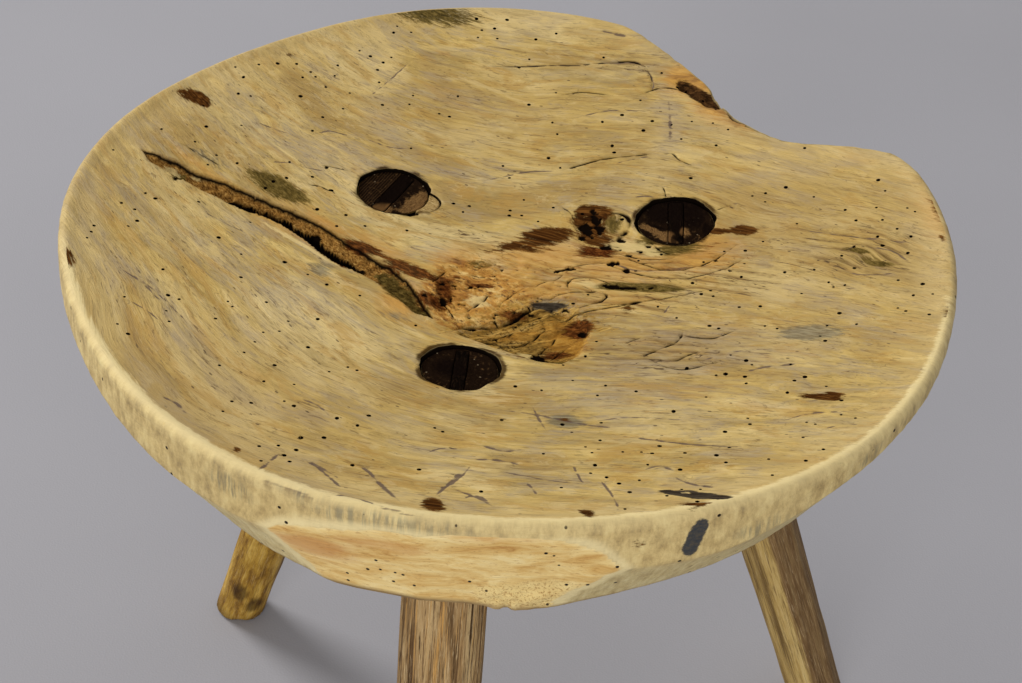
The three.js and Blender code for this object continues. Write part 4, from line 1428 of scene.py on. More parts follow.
def paint_leg(data, side, axes, aim, points, end, kerf_walls):
    """Gives every point of a leg the values that its material asks for. The end grain has an end of 1."""
    local = axes.local(points)
    x, y, up = local.T
    angle = np.degrees(np.arctan2(y, x)) % 360
    paint(data, "leg", local)
    paint(data, "skin", np.column_stack([polar(angle, SKIN_RADIUS), up]))
    paint(data, "turn", angle / 360)
    paint(data, "end", end)
    knot = np.zeros(len(points))
    for at, share, size, _ in KNOTS[side]:
        d = turn_from(angle, at) * SKIN_RADIUS * math.pi / 180
        far = np.hypot(d, (up - share * shoulder_of(LEGS[side])) * 0.7)
        knot = np.maximum(knot, np.clip(1 - 0.5 * far / size, 0, 1))
    paint(data, "knot", knot * (1 - end))
    spots = points[:, :2].T
    paint(data, "tan", np.maximum(patches(*spots, TENON_TAN), 0.3 * (side != "left")) * end)
    paint(data, "black", patches(*spots, TENON_BLACK) * end)
    across = y * math.cos(aim) - x * math.sin(aim)
    paint(data, "across", across)
    paint(data, "ringed", 0.55 * smooth(2, 4, across) * end * (side == "left"))
    # Painted shade on the part of the tenon inside the seat, and on the walls of the kerf.
    inside = smooth(UNDERSIDE - 1, UNDERSIDE + 1, points[:, 2]) * (1 - end) * 0.8
    inside[kerf_walls] = 1
    paint(data, "dark", inside)
    # Darker over the last 9 mm above the sole.
    paint(data, "worn", smooth(9, 0, up) * (1 - end))


def build_leg(side):
    leg = LEGS[side]
    axes = LegFrame(leg, leg["splay"])
    rows, sole_reach = leg_rows(side, axes, turns(LEG_SEGMENTS))
    shell = Shell()
    loops = [shell.add(r) for r in rows]
    shell.wall(loops)

    # Kerf for the wedge, and the end grain round it
    tenon = leg["tenon"] / 2
    aim = axes.turn_of(LegFrame(leg, leg["wedge_azimuth"]))
    kerf = rounded_bar(tenon - KERF_END, leg["wedge"] / 2 + CLEARANCE, 0.8, BAR_POINTS)
    kerf_low = rounded_bar(tenon - KERF_END, WEDGE_TIP / 2 + CLEARANCE, 0.5, BAR_POINTS)

    def place(plane, below):
        c, s = math.cos(aim), math.sin(aim)
        aimed = np.stack([plane[:, 0] * c - plane[:, 1] * s, plane[:, 0] * s + plane[:, 1] * c], -1)
        return shell.add(axes.place(aimed, below_top(TENON_RECESS), below))

    kerf_rows = [place(kerf, 0.0)]
    for t in (0.3, 0.65, 1.0):
        kerf_rows.append(place(lerp(kerf, kerf_low, t), WEDGE_DEPTH * t + CLEARANCE))
    shell.wall(kerf_rows)
    grid = lattice(0.8, tenon, 96)
    grid = grid[np.hypot(*grid.T) < tenon - 1.0]
    grid = grid[polygon_depth(*grid.T, kerf) < -0.45]
    rough = 0.35 * np.abs(fractal(grid[:, 0] / 2.2, grid[:, 1] / 2.2, 0, 3, 97))
    rings = 0.12 * np.sin(np.hypot(*grid.T) * 2.6)
    cap = place(grid, rough + rings + 0.12)
    flat = axes.local(shell.all_points())[:, :2]
    shell.plate(loops[-1], [kerf_rows[0]], cap, flat)
    shell.plate(kerf_rows[-1], [], NO_POINTS, flat)

    sole = lattice(1.6, leg["foot"] / 2, 98)
    sole = axes.offsets(sole[np.hypot(*sole.T) < sole_reach - 1.2])
    inner = shell.add(axes.at(sole, axes.to_floor(sole)))
    flat = axes.local(shell.all_points())[:, :2]
    shell.plate(loops[0], [], inner, flat, facing_up=False)

    data = shell.mesh(f"leg_{side}_wood")
    end = ones_at(shell.count, cap, loops[-1], *kerf_rows)
    paint_leg(data, side, axes, aim, shell.all_points(), end, np.concatenate(kerf_rows[1:]))
    return data


# Wedges and the shim

def build_plug(name, leg, azimuth, sections, recess, relief, seed):
    """A short piece driven into a leg. Its sections are closed lines, each so far below its top."""
    axes = LegFrame(leg, azimuth)
    surface = below_top(recess)
    shell = Shell()
    loops = [shell.add(axes.place(line, surface, below)) for line, below in sections]
    shell.wall(loops, from_above=True)
    outline, below = sections[0]
    grid = lattice(0.7, np.abs(outline).max() + 1, seed)
    grid = grid[polygon_depth(*grid.T, outline) > 0.4]
    rough = relief * np.abs(fractal(grid[:, 0] / 1.7, grid[:, 1] / 1.7, 0, 3, seed + 1))
    cap = shell.add(axes.place(grid, surface, rough + below))
    points = shell.all_points()
    local = axes.local(points)
    shell.plate(loops[0], [], cap, local[:, :2])
    shell.plate(loops[-1], [], NO_POINTS, local[:, :2], facing_up=False)
    data = shell.mesh(name)
    paint(data, "leg", local)
    end = ones_at(shell.count, cap, loops[0])
    for mark, spots in [("tan", TENON_TAN), ("black", TENON_BLACK)]:
        paint(data, mark, patches(points[:, 0], points[:, 1], spots) * end)
    return data


def build_wedge(side):
    leg = LEGS[side]
    half = leg["tenon"] / 2 - KERF_END - CLEARANCE
    wide = leg["wedge"] / 2
    sections = [(rounded_bar(half - 0.4, wide - 0.35, 0.5, BAR_POINTS), 0.0),
                (rounded_bar(half, wide, 0.6, BAR_POINTS), 0.5)]
    for t in (0.25, 0.5, 0.75, 1.0):
        line = rounded_bar(half, lerp(leg["wedge"], WEDGE_TIP, t) / 2, 0.5, BAR_POINTS)
        sections.append((line, WEDGE_DEPTH * t))
    return build_plug(f"wedge_{side}_wood", leg, leg["wedge_azimuth"], sections, TENON_RECESS, 0.4, 101)


def build_shim():
    leg = LEGS["left"]
    inner = leg["tenon"] / 2 + CLEARANCE
    reach = (SHIM_REACH ** 2 + inner ** 2 - SHIM_RADIUS ** 2) / (2 * SHIM_REACH)
    half = math.acos(reach / inner)
    rise = math.sqrt(inner ** 2 - reach ** 2)
    start = math.atan2(-rise, reach - SHIM_REACH)
    outer = np.linspace(start, -start, 34)
    inward = np.linspace(half, -half, 22)[1:-1]
    line = np.concatenate([
        np.stack([SHIM_REACH + SHIM_RADIUS * np.cos(outer), SHIM_RADIUS * np.sin(outer)], -1),
        np.stack([inner * np.cos(inward), inner * np.sin(inward)], -1),
    ])
    middle = line.mean(0)

    def shrunk(by):
        away = line - middle
        return middle + away * (1 - by / np.linalg.norm(away, axis=1))[:, None]

    sections = [(shrunk(0.3), 0.0), (shrunk(-0.1), 0.5), (shrunk(-0.1), 4), (shrunk(0.05), 12),
                (shrunk(0.05), SHIM_DEPTH - SHIM_RECESS)]
    return build_plug("shim_left_wood", leg, SHIM_AZIMUTH, sections, SHIM_RECESS, 0.3, 111)


# Materials

def tone(red, green, blue):
    """A colour given as it shows on a screen, 0 to 255."""
    def linear(value):
        v = value / 255
        return v / 12.92 if v <= 0.04045 else ((v + 0.055) / 1.055) ** 2.4
    return (linear(red), linear(green), linear(blue), 1.0)


class Paint:
    """A material's nodes, with short calls for the kinds used here. A colour is a node's output or a tone."""

    def __init__(self, name):
        self.material = bpy.data.materials.new(name)
        self.material.use_nodes = True
        self.nodes = self.material.node_tree.nodes
        self.links = self.material.node_tree.links
        self.shader = self.nodes["Principled BSDF"]

    def put(self, socket, value):
        if isinstance(value, bpy.types.NodeSocket):
            self.links.new(value, socket)
        elif isinstance(value, tuple):
            socket.default_value = tone(*value)
        elif value is not None:
            socket.default_value = value

    def attribute(self, name, vector=False):
        node = self.nodes.new("ShaderNodeAttribute")
        node.attribute_name = name
        return node.outputs["Vector" if vector else "Fac"]

    def scaled(self, vector, sizes):
        node = self.nodes.new("ShaderNodeVectorMath")
        node.operation = "MULTIPLY"
        self.put(node.inputs[0], vector)
        node.inputs[1].default_value = sizes
        return node.outputs[0]

    def noise(self, vector, sizes, detail, rough=0.55, twist=0.0):
        node = self.nodes.new("ShaderNodeTexNoise")
        self.put(node.inputs["Vector"], self.scaled(vector, sizes))
        for name, value in dict(Scale=1.0, Detail=detail, Roughness=rough, Distortion=twist).items():
            node.inputs[name].default_value = value
        return node.outputs["Fac"]

    def dots(self, vector, sizes, apart, radius, share):
        """Round dots, about so far apart, in a share of all the places where one could be."""
        node = self.nodes.new("ShaderNodeTexVoronoi")
        self.put(node.inputs["Vector"], self.scaled(vector, sizes))
        node.inputs["Scale"].default_value = 1 / apart
        near = self.step(node.outputs["Distance"], radius * 1.1 / apart, radius * 0.8 / apart)
        return self.times(near, self.math("GREATER_THAN", share, node.outputs["Color"]))

    def ramp(self, value, *stops):
        """Colours along a value: each stop is its place, 0 to 1, and its red, green and blue."""
        node = self.nodes.new("ShaderNodeValToRGB")
        self.put(node.inputs[0], value)
        ramp = node.color_ramp
        while len(ramp.elements) < len(stops):
            ramp.elements.new(0.5)
        for element, (place, *colour) in zip(ramp.elements, stops):
            element.position = place
            element.color = tone(*colour)
        return node.outputs["Color"]

    def step(self, value, low, high):
        """0 to 1 as the value goes from low to high, or from a larger low down to high."""
        node = self.nodes.new("ShaderNodeMapRange")
        node.interpolation_type = "SMOOTHSTEP"
        self.put(node.inputs["Value"], value)
        node.inputs["From Min"].default_value = low
        node.inputs["From Max"].default_value = high
        return node.outputs["Result"]

    def math(self, kind, a, b=None):
        node = self.nodes.new("ShaderNodeMath")
        node.operation = kind
        self.put(node.inputs[0], a)
        self.put(node.inputs[1], b)
        return node.outputs[0]

    def times(self, a, b):
        return self.math("MULTIPLY", a, b)

    def plus(self, a, b):
        return self.math("ADD", a, b)

    def swing(self, value, share=1.0):
        """A share of how far a noise is from its middle."""
        away = self.math("SUBTRACT", value, 0.5)
        return away if share == 1.0 else self.times(away, share)

    def most(self, first, *others):
        for other in others:
            first = self.math("MAXIMUM", first, other)
        return first

    def mix(self, share, a, b):
        node = self.nodes.new("ShaderNodeMix")
        node.data_type = "RGBA"
        self.put(node.inputs[0], share)
        self.put(node.inputs[6], a)
        self.put(node.inputs[7], b)
        return node.outputs[2]

    def layer(self, base, value, low, high, share, colour):
        """A base with a share of a colour over it, where the value has gone from low to high."""
        return self.mix(self.times(self.step(value, low, high), share), base, colour)

    def bump(self, height, distance, strength, under=None):
        node = self.nodes.new("ShaderNodeBump")
        node.inputs["Strength"].default_value = strength
        node.inputs["Distance"].default_value = distance
        self.put(node.inputs["Height"], height)
        self.put(node.inputs["Normal"], under)
        return node.outputs[0]

    def finish(self, colour, rough, normal):
        self.put(self.shader.inputs["Base Color"], colour)
        self.put(self.shader.inputs["Roughness"], rough)
        self.put(self.shader.inputs["Normal"], normal)
        return self.material


class SeatPaint(Paint):
    """The seat's material, in parts that share their patterns."""

    def __init__(self):
        super().__init__("seat_wood")
        self.grain = self.attribute("grain", vector=True)
        self.around = self.attribute("around", vector=True)
        self.side = self.attribute("side")
        self.streaks = self.noise(self.grain, (0.034, 0.13, 0.13), 5, 0.6, 1.1)
        self.fibres = self.noise(self.grain, (0.05, 1.2, 1.2), 4, 0.65)
        self.hairs = self.noise(self.grain, (0.2, 2.6, 2.6), 3, 0.7)
        self.crumbs = self.noise(self.grain, (0.36, 0.8, 0.8), 5, 0.72)
        self.lumps = self.noise(self.grain, (0.1, 0.2, 0.2), 5, 0.7, 0.8)
        mottled = self.noise(self.grain, (0.09, 0.26, 0.26), 5, 0.7)
        coarse = self.plus(self.swing(mottled, 0.7), self.swing(self.fibres, 0.7))
        self.uneven = self.plus(coarse, self.swing(self.crumbs, 0.5))
        self.brown = self.ramp(self.fibres, (0.32, 38, 20, 8), (0.5, 72, 42, 16), (0.68, 120, 78, 34))
        self.brown_at = self.area("brown", 0.36, 0.56, 0.9)
        # Where the wood is stained, torn or painted with shade, and has no sheen
        self.dull = [self.brown_at, self.attribute("split"), self.attribute("grime_and_shade")]

    def area(self, name, low, high, ragged):
        """Where a painted mark is, with an uneven edge."""
        return self.step(self.plus(self.attribute(name), self.times(self.uneven, ragged)), low, high)

    def stain(self, base, name, low, high, ragged, share, colour, dull=False):
        """A base with a share of a colour over it, where a mark is painted."""
        at = self.area(name, low, high, ragged)
        if dull:
            self.dull.append(at)
        return self.mix(self.times(at, share), base, colour)

    def wood(self):
        """Honey wood with streaks, veils, rings, fine checks and dashes along the grain."""
        dashes = self.noise(self.grain, (0.09, 0.85, 0.85), 3, 0.6, 0.2)
        blotches = self.noise(self.grain, (0.02, 0.04, 0.04), 4, 0.6)
        clouds = self.noise(self.grain, (0.04, 0.1, 0.1), 5, 0.65, 0.4)
        lines = self.noise(self.grain, (0.007, 0.1, 0.1), 4, 0.55, 0.4)
        tide = self.noise(self.grain, (0.012, 0.028, 0.028), 3, 0.55, 0.6)
        mottle = self.noise(self.grain, (0.05, 0.13, 0.13), 6, 0.72, 1.0)
        checks = self.noise(self.grain, (0.035, 0.2, 0.2), 3, 0.55, 0.6)
        base = self.ramp(self.streaks, (0.3, 216, 186, 112), (0.42, 202, 171, 98), (0.54, 188, 158, 90),
                         (0.66, 170, 146, 96), (0.76, 156, 132, 98))
        for pattern, low, high, share, colour in [
            (tide, 0.5, 0.38, 0.6, (158, 128, 74)),
            (tide, 0.52, 0.64, 0.5, (222, 198, 140)),
            (blotches, 0.46, 0.6, 0.4, (218, 194, 134)),
            (clouds, 0.52, 0.62, 0.55, (180, 138, 62)),
            (mottle, 0.52, 0.64, 0.42, (152, 128, 72)),
            (mottle, 0.47, 0.36, 0.34, (226, 204, 150)),
        ]:
            base = self.layer(base, pattern, low, high, share, colour)
        broken = self.plus(self.times(self.step(dashes, 0.4, 0.56), 0.6), 0.4)
        lilac_at = self.times(self.step(clouds, 0.48, 0.37), broken)
        base = self.mix(self.times(lilac_at, 0.6), base, (166, 148, 118))
        veiled = self.plus(self.attribute("veil"), self.swing(self.streaks, 1.2))
        veiled = self.times(self.step(veiled, 0.2, 0.75), broken)
        base = self.mix(self.times(veiled, 0.55), base, (164, 148, 124))
        # Broad stretches painted darker and browner, mostly as painted shade.
        base = self.layer(base, self.attribute("tan"), 0.0, 0.9, 0.4, (166, 134, 74))
        ringed = self.math("PINGPONG", self.times(lines, 17.0), 1.0)
        faded = self.times(self.step(self.fibres, 0.42, 0.56), 0.45)
        swirled = self.times(self.attribute("swirl"), self.step(dashes, 0.3, 0.52))
        ring_at = self.most(self.times(self.step(ringed, 0.82, 0.97), faded), self.times(swirled, 0.8))
        base = self.mix(ring_at, base, (112, 84, 44))
        check_at = self.step(self.math("ABSOLUTE", self.swing(checks)), 0.014, 0.004)
        check_at = self.times(check_at, self.step(dashes, 0.42, 0.54))
        rougher = self.plus(self.times(self.step(self.attribute("whirl"), 0.15, 0.6), 0.55), 0.4)
        base = self.mix(self.times(check_at, rougher), base, (84, 62, 36))
        for pattern, low, high, share, colour in [
            (self.fibres, 0.55, 0.66, 0.14, (132, 102, 56)),
            (self.fibres, 0.45, 0.33, 0.14, (226, 202, 136)),
            (self.hairs, 0.56, 0.68, 0.16, (112, 86, 48)),
            (dashes, 0.63, 0.69, self.times(self.step(blotches, 0.36, 0.58), 0.6), (84, 62, 38)),
        ]:
            base = self.layer(base, pattern, low, high, share, colour)
        specks = self.dots(self.grain, (0.5, 1.0, 1.0), 3.0, 0.4, 0.3)
        return self.mix(self.times(specks, 0.7), base, (60, 42, 24))

    def first_stains(self, base):
        """Orange, grey and brown stains, cuts, a paler band along the rim, and a painted highlight on its
        front crest.
        """
        base = self.stain(base, "orange", 0.25, 0.7, 0.5, 0.6, (200, 142, 60))
        grey = self.mix(self.step(self.fibres, 0.42, 0.6), (142, 134, 108), (92, 84, 66))
        base = self.stain(base, "grey", 0.34, 0.6, 0.9, 0.75, grey)
        base = self.mix(self.times(self.attribute("near_rim"), 0.3), base, (204, 178, 122))
        # A painted highlight on the front crest.
        base = self.stain(base, "rim", 0.3, 0.8, 1.5, 0.7, (242, 222, 164))
        base = self.stain(base, "cut", 0.2, 0.6, 0.8, 0.85, (92, 74, 66))
        return self.mix(self.brown_at, base, self.brown)

    def broken_wood(self, base):
        """The soft heart, its torn dark part and the floor of the split."""
        heart = self.ramp(self.lumps, (0.3, 104, 58, 20), (0.42, 168, 110, 42), (0.53, 204, 150, 68),
                          (0.66, 236, 202, 128))
        heart = self.layer(heart, self.crumbs, 0.47, 0.37, 0.85, (84, 46, 16))
        base = self.stain(base, "heart", 0.25, 0.8, 1.2, 0.9, heart)
        slant = self.attribute("slant", vector=True)
        shreds = self.noise(slant, (0.06, 0.4, 0.4), 6, 0.72, 0.4)
        slits = self.noise(slant, (0.09, 0.9, 0.9), 4, 0.6, 0.3)
        core = self.ramp(shreds, (0.3, 56, 38, 14), (0.4, 112, 80, 30), (0.5, 156, 120, 54),
                         (0.59, 190, 152, 80), (0.7, 216, 184, 114))
        core = self.layer(core, self.crumbs, 0.48, 0.4, 0.9, (46, 30, 11))
        core = self.layer(core, slits, 0.56, 0.64, 0.85, (52, 34, 13))
        ragged = self.times(self.plus(self.swing(shreds), self.swing(self.crumbs)), 1.5)
        core_at = self.times(self.step(self.plus(self.attribute("core"), ragged), 0.25, 0.7), 0.92)
        self.dull.append(core_at)
        base = self.mix(core_at, base, core)
        splinters = self.noise(self.grain, (0.9, 1.1, 1.1), 5, 0.75)
        fill = self.ramp(splinters, (0.32, 50, 30, 12), (0.43, 116, 78, 34), (0.55, 164, 120, 58),
                         (0.68, 206, 166, 96))
        return self.mix(self.attribute("split"), base, fill)

    def last_stains(self, base):
        """Amber, olive and red stains, pale splinters, the grime round the tenons with painted shade down
        their holes, and the bark.
        """
        amber = self.ramp(self.lumps, (0.34, 120, 74, 24), (0.5, 176, 124, 48), (0.66, 214, 164, 78))
        olive = self.ramp(self.crumbs, (0.33, 36, 30, 12), (0.5, 88, 72, 32), (0.68, 134, 112, 60))
        red = self.ramp(self.crumbs, (0.34, 30, 12, 6), (0.5, 76, 36, 14), (0.66, 136, 82, 36))
        bark = self.ramp(self.crumbs, (0.35, 26, 17, 10), (0.55, 70, 46, 24), (0.75, 132, 92, 50))
        base = self.stain(base, "amber", 0.2, 0.7, 0.9, 0.75, amber)
        base = self.stain(base, "olive", 0.34, 0.56, 0.8, 0.95, olive, dull=True)
        base = self.stain(base, "red", 0.34, 0.56, 0.9, 0.95, red, dull=True)
        base = self.stain(base, "pale", 0.36, 0.58, 0.9, 0.75, (222, 196, 132))
        # Grime round the tenons, and painted shade down their holes.
        base = self.stain(base, "grime_and_shade", 0.3, 0.8, 0.9, 0.9, (54, 34, 15))
        return self.stain(base, "bark", 0.42, 0.56, 0.5, 1.0, bark, dull=True)

    def upright_side(self, base):
        """The band round the side, with grey hatching, and the bevel under it."""
        hatch = self.noise(self.around, (0.5, 0.04, 0.0), 4, 0.7)
        worn = self.noise(self.around, (0.04, 0.06, 0.0), 3, 0.6)
        band = self.ramp(self.noise(self.around, (0.2, 0.09, 0.0), 5, 0.7), (0.3, 232, 212, 152),
                         (0.46, 214, 190, 132), (0.58, 188, 164, 112), (0.7, 150, 130, 92))
        bevel = self.ramp(self.noise(self.around, (0.3, 0.1, 0.0), 5, 0.7), (0.3, 226, 212, 162),
                          (0.5, 206, 188, 136), (0.7, 172, 150, 104))
        smudged = self.plus(self.attribute("smudge"), self.swing(worn, 0.7))
        hatched = self.times(self.step(hatch, 0.44, 0.6), self.step(smudged, 0.22, 0.5))
        band = self.mix(self.times(hatched, 0.75), band, (122, 118, 98))
        band = self.mix(self.attribute("bevel"), band, bevel)
        base = self.mix(self.times(self.side, 0.85), base, band)
        return self.mix(self.times(self.side, self.brown_at), base, self.brown)

    def axe_cut(self, base):
        """Fresher wood on the axe cut, flushed in places, with a crumbly end and a painted highlight along
        its edge.
        """
        sliced = self.noise(self.around, (0.05, 0.16, 0.0), 6, 0.66, 0.6)
        flush = self.noise(self.around, (0.03, 0.09, 0.0), 4, 0.6, 0.6)
        crumb = self.noise(self.around, (0.9, 0.9, 0.0), 4, 0.7)
        fleck = self.noise(self.around, (0.25, 0.7, 0.0), 4, 0.7)
        fresh = self.ramp(sliced, (0.3, 246, 224, 164), (0.46, 236, 206, 138), (0.6, 218, 178, 106),
                          (0.72, 182, 130, 68))
        flushed = self.plus(self.attribute("flush"), self.swing(flush))
        fresh = self.layer(fresh, flushed, 0.3, 0.75, 0.75, (198, 140, 78))
        crisp = self.mix(self.step(crumb, 0.5, 0.36), (236, 212, 146), (150, 104, 52))
        fresh = self.stain(fresh, "crumbly", 0.2, 0.9, 1.2, 0.7, crisp)
        fresh = self.layer(fresh, fleck, 0.56, 0.66, 0.5, (168, 116, 60))
        base = self.mix(self.step(self.attribute("fresh"), 0.35, 0.65), base, fresh)
        # A painted highlight along the edge of the axe cut.
        return self.mix(self.times(self.attribute("arris_highlight"), 0.75), base, (240, 222, 168))

    def darkest(self, base):
        """Ink, beetle holes in the side painted as dark dots for the shade in them, painted shade on the
        underside, and painted shade in all that is cut or bored deep.
        """
        ink = self.mix(self.side, (46, 38, 30), (66, 68, 70))
        ink = self.layer(ink, self.fibres, 0.4, 0.7, 0.6, (98, 88, 72))
        base = self.stain(base, "ink", 0.36, 0.52, 0.4, 1.0, ink, dull=True)
        # Beetle holes in the side are painted only: dark dots that stand for the shade inside them.
        holes = self.dots(self.around, (1.0, 1.0, 0.0), 6.5, 0.75, 0.4)
        base = self.mix(self.times(holes, self.side), base, (34, 23, 12))
        # Painted shade: the underside is given a darker ramp.
        under = self.ramp(self.streaks, (0.3, 176, 150, 104), (0.55, 140, 114, 74), (0.75, 112, 92, 64))
        base = self.mix(self.attribute("under"), base, under)
        # Painted shade in all that is cut or bored deep, with black marks.
        return self.mix(self.step(self.attribute("dark"), 0.08, 0.75), base, (16, 10, 6))

    def finished(self, base):
        rough = self.plus(self.times(self.fibres, 0.22), 0.46)
        rough = self.plus(rough, self.times(self.attribute("heart"), 0.2))
        sheen = self.step(self.attribute("dark"), 0.5, 0.0)
        sheen = self.times(sheen, self.step(self.most(*self.dull), 0.8, 0.0))
        self.put(self.shader.inputs["Specular IOR Level"], self.times(sheen, 0.14))
        deep = self.bump(self.streaks, 0.0014, 0.5)
        mid = self.bump(self.fibres, 0.0005, 0.45, deep)
        soft = self.most(self.attribute("heart"), self.attribute("core"), self.attribute("split"))
        torn = self.bump(self.times(self.crumbs, soft), 0.001, 0.8, mid)
        return self.finish(base, rough, self.bump(self.hairs, 0.00025, 0.45, torn))


def seat_material():
    m = SeatPaint()
    base = m.wood()
    for part in (m.first_stains, m.broken_wood, m.last_stains, m.upright_side, m.axe_cut, m.darkest):
        base = part(base)
    return m.finished(base)


LEG_LOOKS = {
    "left": dict(stretch=0.06, deepen=0.3, paler=0.3, rough=0.42, tones=[
        (0.3, 204, 168, 84), (0.46, 172, 134, 54), (0.58, 130, 94, 34), (0.7, 78, 52, 20)]),
    "right": dict(stretch=0.012, deepen=0.6, paler=0.4, rough=0.52, tones=[
        (0.32, 214, 188, 126), (0.5, 184, 154, 92), (0.66, 124, 98, 54)]),
    "front": dict(stretch=0.012, deepen=1.0, paler=0.7, rough=0.52, tones=[
        (0.32, 204, 174, 124), (0.5, 166, 134, 90), (0.66, 104, 78, 48)]),
}
END_DARK = (28, 18, 11)
END_BROWN = (96, 70, 42)
BLACKENED = (18, 11, 8)


def end_grain(m, base):
    """Blackened end grain, cut by fine rays, and painted shade on the sides of a tenon inside the seat and in
    its kerf.
    """
    place = m.attribute("leg", vector=True)
    spot = m.noise(place, (0.5, 0.5, 0.05), 5, 0.7)
    flecks = m.noise(place, (2.2, 0.5, 0.1), 4, 0.7, 1.0)
    tint = m.ramp(spot, (0.35, *END_DARK), (0.56, *END_DARK), (0.76, *END_BROWN))
    tint = m.layer(tint, flecks, 0.6, 0.7, 0.3, END_BROWN)
    grit = m.dots(place, (1.0, 1.0, 0.1), 1.6, 0.4, 0.22)
    tint = m.mix(m.times(grit, 0.6), tint, (150, 132, 104))
    uneven = m.swing(spot, 0.9)
    tan = m.ramp(flecks, (0.35, 84, 58, 32), (0.6, 138, 104, 62))
    tint = m.layer(tint, m.plus(m.attribute("tan"), uneven), 0.4, 0.62, 0.85, tan)
    rings = m.math("PINGPONG", m.attribute("across"), 0.55)
    tint = m.layer(tint, rings, 0.4, 0.55, m.attribute("ringed"), END_BROWN)
    tint = m.layer(tint, m.plus(m.attribute("black"), uneven), 0.42, 0.6, 0.92, BLACKENED)
    m.put(m.shader.inputs["Specular IOR Level"], m.times(m.step(m.attribute("end"), 0.6, 0.1), 0.1))
    base = m.mix(m.attribute("end"), base, tint)
    # Painted shade on the tenon inside the seat and in the kerf.
    return m.mix(m.step(m.attribute("dark"), 0.1, 0.8), base, (16, 11, 8))


def split_billet(m, base, streaks, fibres):
    """Brown heartwood on one side of the right leg, and a darker strip beside its pale side."""
    turn = m.plus(m.attribute("turn"), m.swing(streaks, 0.14))
    wide = m.times(m.step(turn, 0.72, 0.75), m.step(turn, 1.02, 0.98))
    heartwood = m.ramp(fibres, (0.3, 88, 64, 38), (0.5, 124, 96, 62), (0.66, 170, 142, 96))
    strip = m.times(m.step(turn, 0.42, 0.46), m.step(turn, 0.54, 0.5))
    return m.mix(m.times(strip, 0.7), m.mix(wide, base, heartwood), (84, 72, 40))


def leg_material(side):
    m = Paint(f"leg_{side}_wood")
    look = LEG_LOOKS[side]
    skin = m.attribute("skin", vector=True)
    streaks = m.noise(skin, (0.16, 0.16, look["stretch"]), 5, 0.6, 0.3)
    fibres = m.noise(skin, (0.9, 0.9, 0.03), 4, 0.7)
    hairs = m.noise(skin, (2.6, 2.6, 0.09), 3, 0.7)
    base = m.ramp(streaks, *look["tones"])
    if side == "right":
        base = split_billet(m, base, streaks, fibres)
    if side == "front":
        warm = m.noise(skin, (1.1, 1.1, 0.016), 3, 0.6)
        base = m.layer(base, warm, 0.56, 0.64, 0.8, (208, 158, 88))
        base = m.layer(base, warm, 0.44, 0.37, 0.8, (84, 60, 38))
    base = m.layer(base, fibres, 0.54, 0.64, look["deepen"], (74, 54, 32))
    base = m.layer(base, hairs, 0.54, 0.68, look["deepen"], (92, 68, 42))
    base = m.layer(base, hairs, 0.45, 0.32, look["paler"], (216, 192, 148))
    base = m.layer(base, m.plus(m.attribute("knot"), m.swing(fibres, 0.4)), 0.5, 0.78, 0.7, (52, 34, 18))
    # Darker towards the sole.
    base = m.mix(m.times(m.attribute("worn"), 0.55), base, (66, 50, 32))
    base = end_grain(m, base)
    rough = m.plus(m.times(fibres, 0.25), look["rough"])
    deep = m.bump(streaks, 0.001, 0.4)
    mid = m.bump(fibres, 0.0006, 0.8, deep)
    return m.finish(base, rough, m.bump(hairs, 0.0003, 0.8, mid))


def plug_material(name, dark, mid, light):
    m = Paint(name)
    place = m.attribute("leg", vector=True)
    rays = m.noise(place, (0.35, 1.4, 0.1), 5, 0.7, 0.6)
    grain = m.noise(place, (1.8, 0.7, 0.08), 4, 0.7)
    base = m.ramp(rays, (0.34, *dark), (0.5, *mid), (0.68, *light))
    base = m.layer(base, grain, 0.52, 0.68, 0.6, dark)
    base = m.layer(base, m.attribute("tan"), 0.4, 0.62, 0.8, (112, 80, 46))
    base = m.layer(base, m.attribute("black"), 0.42, 0.6, 0.8, BLACKENED)
    rough = m.plus(m.times(grain, 0.3), 0.5)
    m.shader.inputs["Specular IOR Level"].default_value = 0.0
    return m.finish(base, rough, m.bump(grain, 0.0003, 0.8, m.bump(rays, 0.0006, 0.8)))


def floor_material():
    m = Paint("floor")
    where = m.nodes.new("ShaderNodeNewGeometry").outputs["Position"]
    soft = m.noise(where, (2.0, 2.0, 2.0), 3, 0.5)
    weave = m.noise(where, (900.0, 900.0, 900.0), 2, 0.5)
    base = m.ramp(soft, (0.3, 154, 153, 158), (0.7, 164, 163, 168))
    base = m.mix(m.times(weave, 0.12), base, (150, 150, 155))
    return m.finish(base, 0.9, m.bump(weave, 0.0004, 0.3))


# Pieces

def show(name, data, material):
    piece = bpy.data.objects.new(f"wooden_{name}", data)
    bpy.context.scene.collection.objects.link(piece)
    data.materials.append(material)
    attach(piece, BODY)
    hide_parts(name)


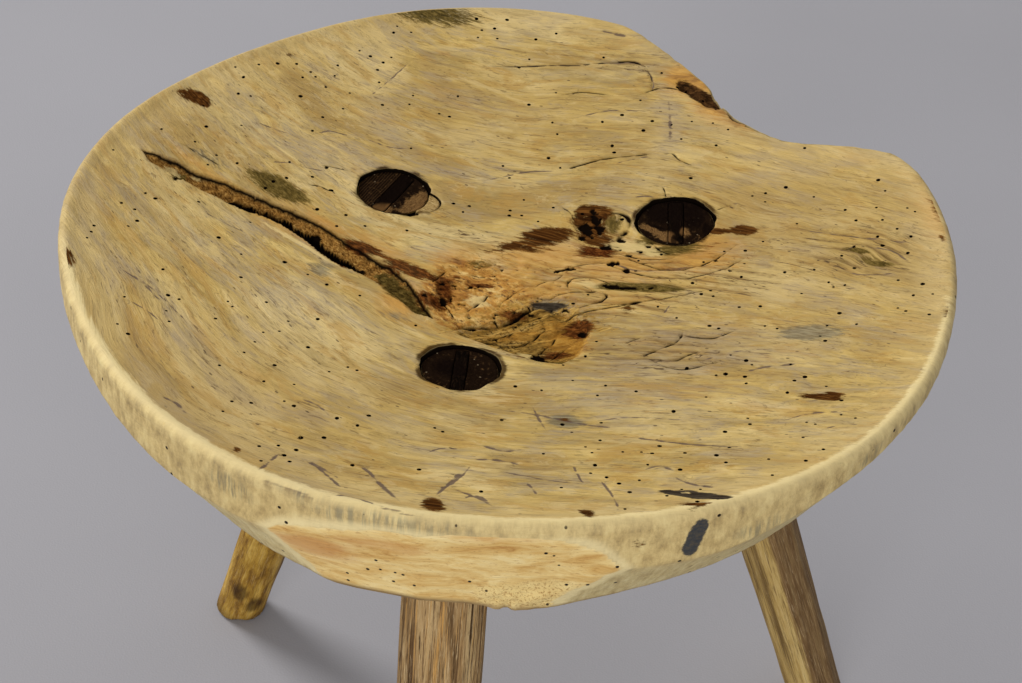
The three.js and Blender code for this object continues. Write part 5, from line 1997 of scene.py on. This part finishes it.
show("seat", build_seat(), seat_material())
for side in LEGS:
    show(f"leg_{side}", build_leg(side), leg_material(side))
wedge_look = plug_material("wedge_wood", (9, 6, 4), (15, 10, 7), (40, 27, 17))
for side in LEGS:
    show(f"wedge_{side}", build_wedge(side), wedge_look)
shim_look = plug_material("shim_wood", (120, 92, 52), (176, 146, 92), (206, 180, 124))
show("shim_left", build_shim(), shim_look)


# Stage: floor, light and camera, in metres

FLOOR_HALF = 6.0
LAMPS_AIM = (0, 0, 0.25)
WORLD_COLOUR = (0.86, 0.85, 0.86, 1)
WORLD_STRENGTH = 0.48


def stage():
    data = bpy.data.meshes.new("floor")
    corners = [(-1, -1), (1, -1), (1, 1), (-1, 1)]
    data.from_pydata([(x * FLOOR_HALF, y * FLOOR_HALF, 0) for x, y in corners], [], [(0, 1, 2, 3)])
    floor = bpy.data.objects.new("floor", data)
    bpy.context.scene.collection.objects.link(floor)
    data.materials.append(floor_material())


def lamp(name, place, size, power, colour):
    light = bpy.data.lights.new(name, "AREA")
    light.shape = "DISK"
    light.size = size
    light.energy = power
    light.color = colour
    lit = bpy.data.objects.new(name, light)
    bpy.context.scene.collection.objects.link(lit)
    lit.location = place
    aim = Vector(LAMPS_AIM) - Vector(place)
    lit.rotation_euler = aim.to_track_quat("-Z", "Y").to_euler()


def world():
    sky = bpy.data.worlds.new("world")
    sky.use_nodes = True
    background = sky.node_tree.nodes["Background"]
    background.inputs["Color"].default_value = WORLD_COLOUR
    background.inputs["Strength"].default_value = WORLD_STRENGTH
    bpy.context.scene.world = sky


def camera():
    data = bpy.data.cameras.new("camera")
    data.sensor_width = SENSOR
    data.lens = FOCAL * SENSOR / IMAGE_WIDTH
    data.clip_end = 50
    eye = bpy.data.objects.new("camera", data)
    bpy.context.scene.collection.objects.link(eye)
    place = (CAMERA + [*SEAT_CENTRE, 0]) * MM
    axes = np.column_stack([*camera_axes(), place])
    eye.matrix_world = Matrix([*axes.tolist(), [0, 0, 0, 1]])
    bpy.context.scene.camera = eye


stage()
lamp("back_left", (-3.6, 3.0, 3.6), 2.6, 252, (1.0, 0.99, 0.97))
lamp("front", (-0.9, -4.2, 1.4), 2.8, 104, (1.0, 0.98, 0.95))
world()
bpy.context.scene.view_settings.view_transform = "Standard"
camera()
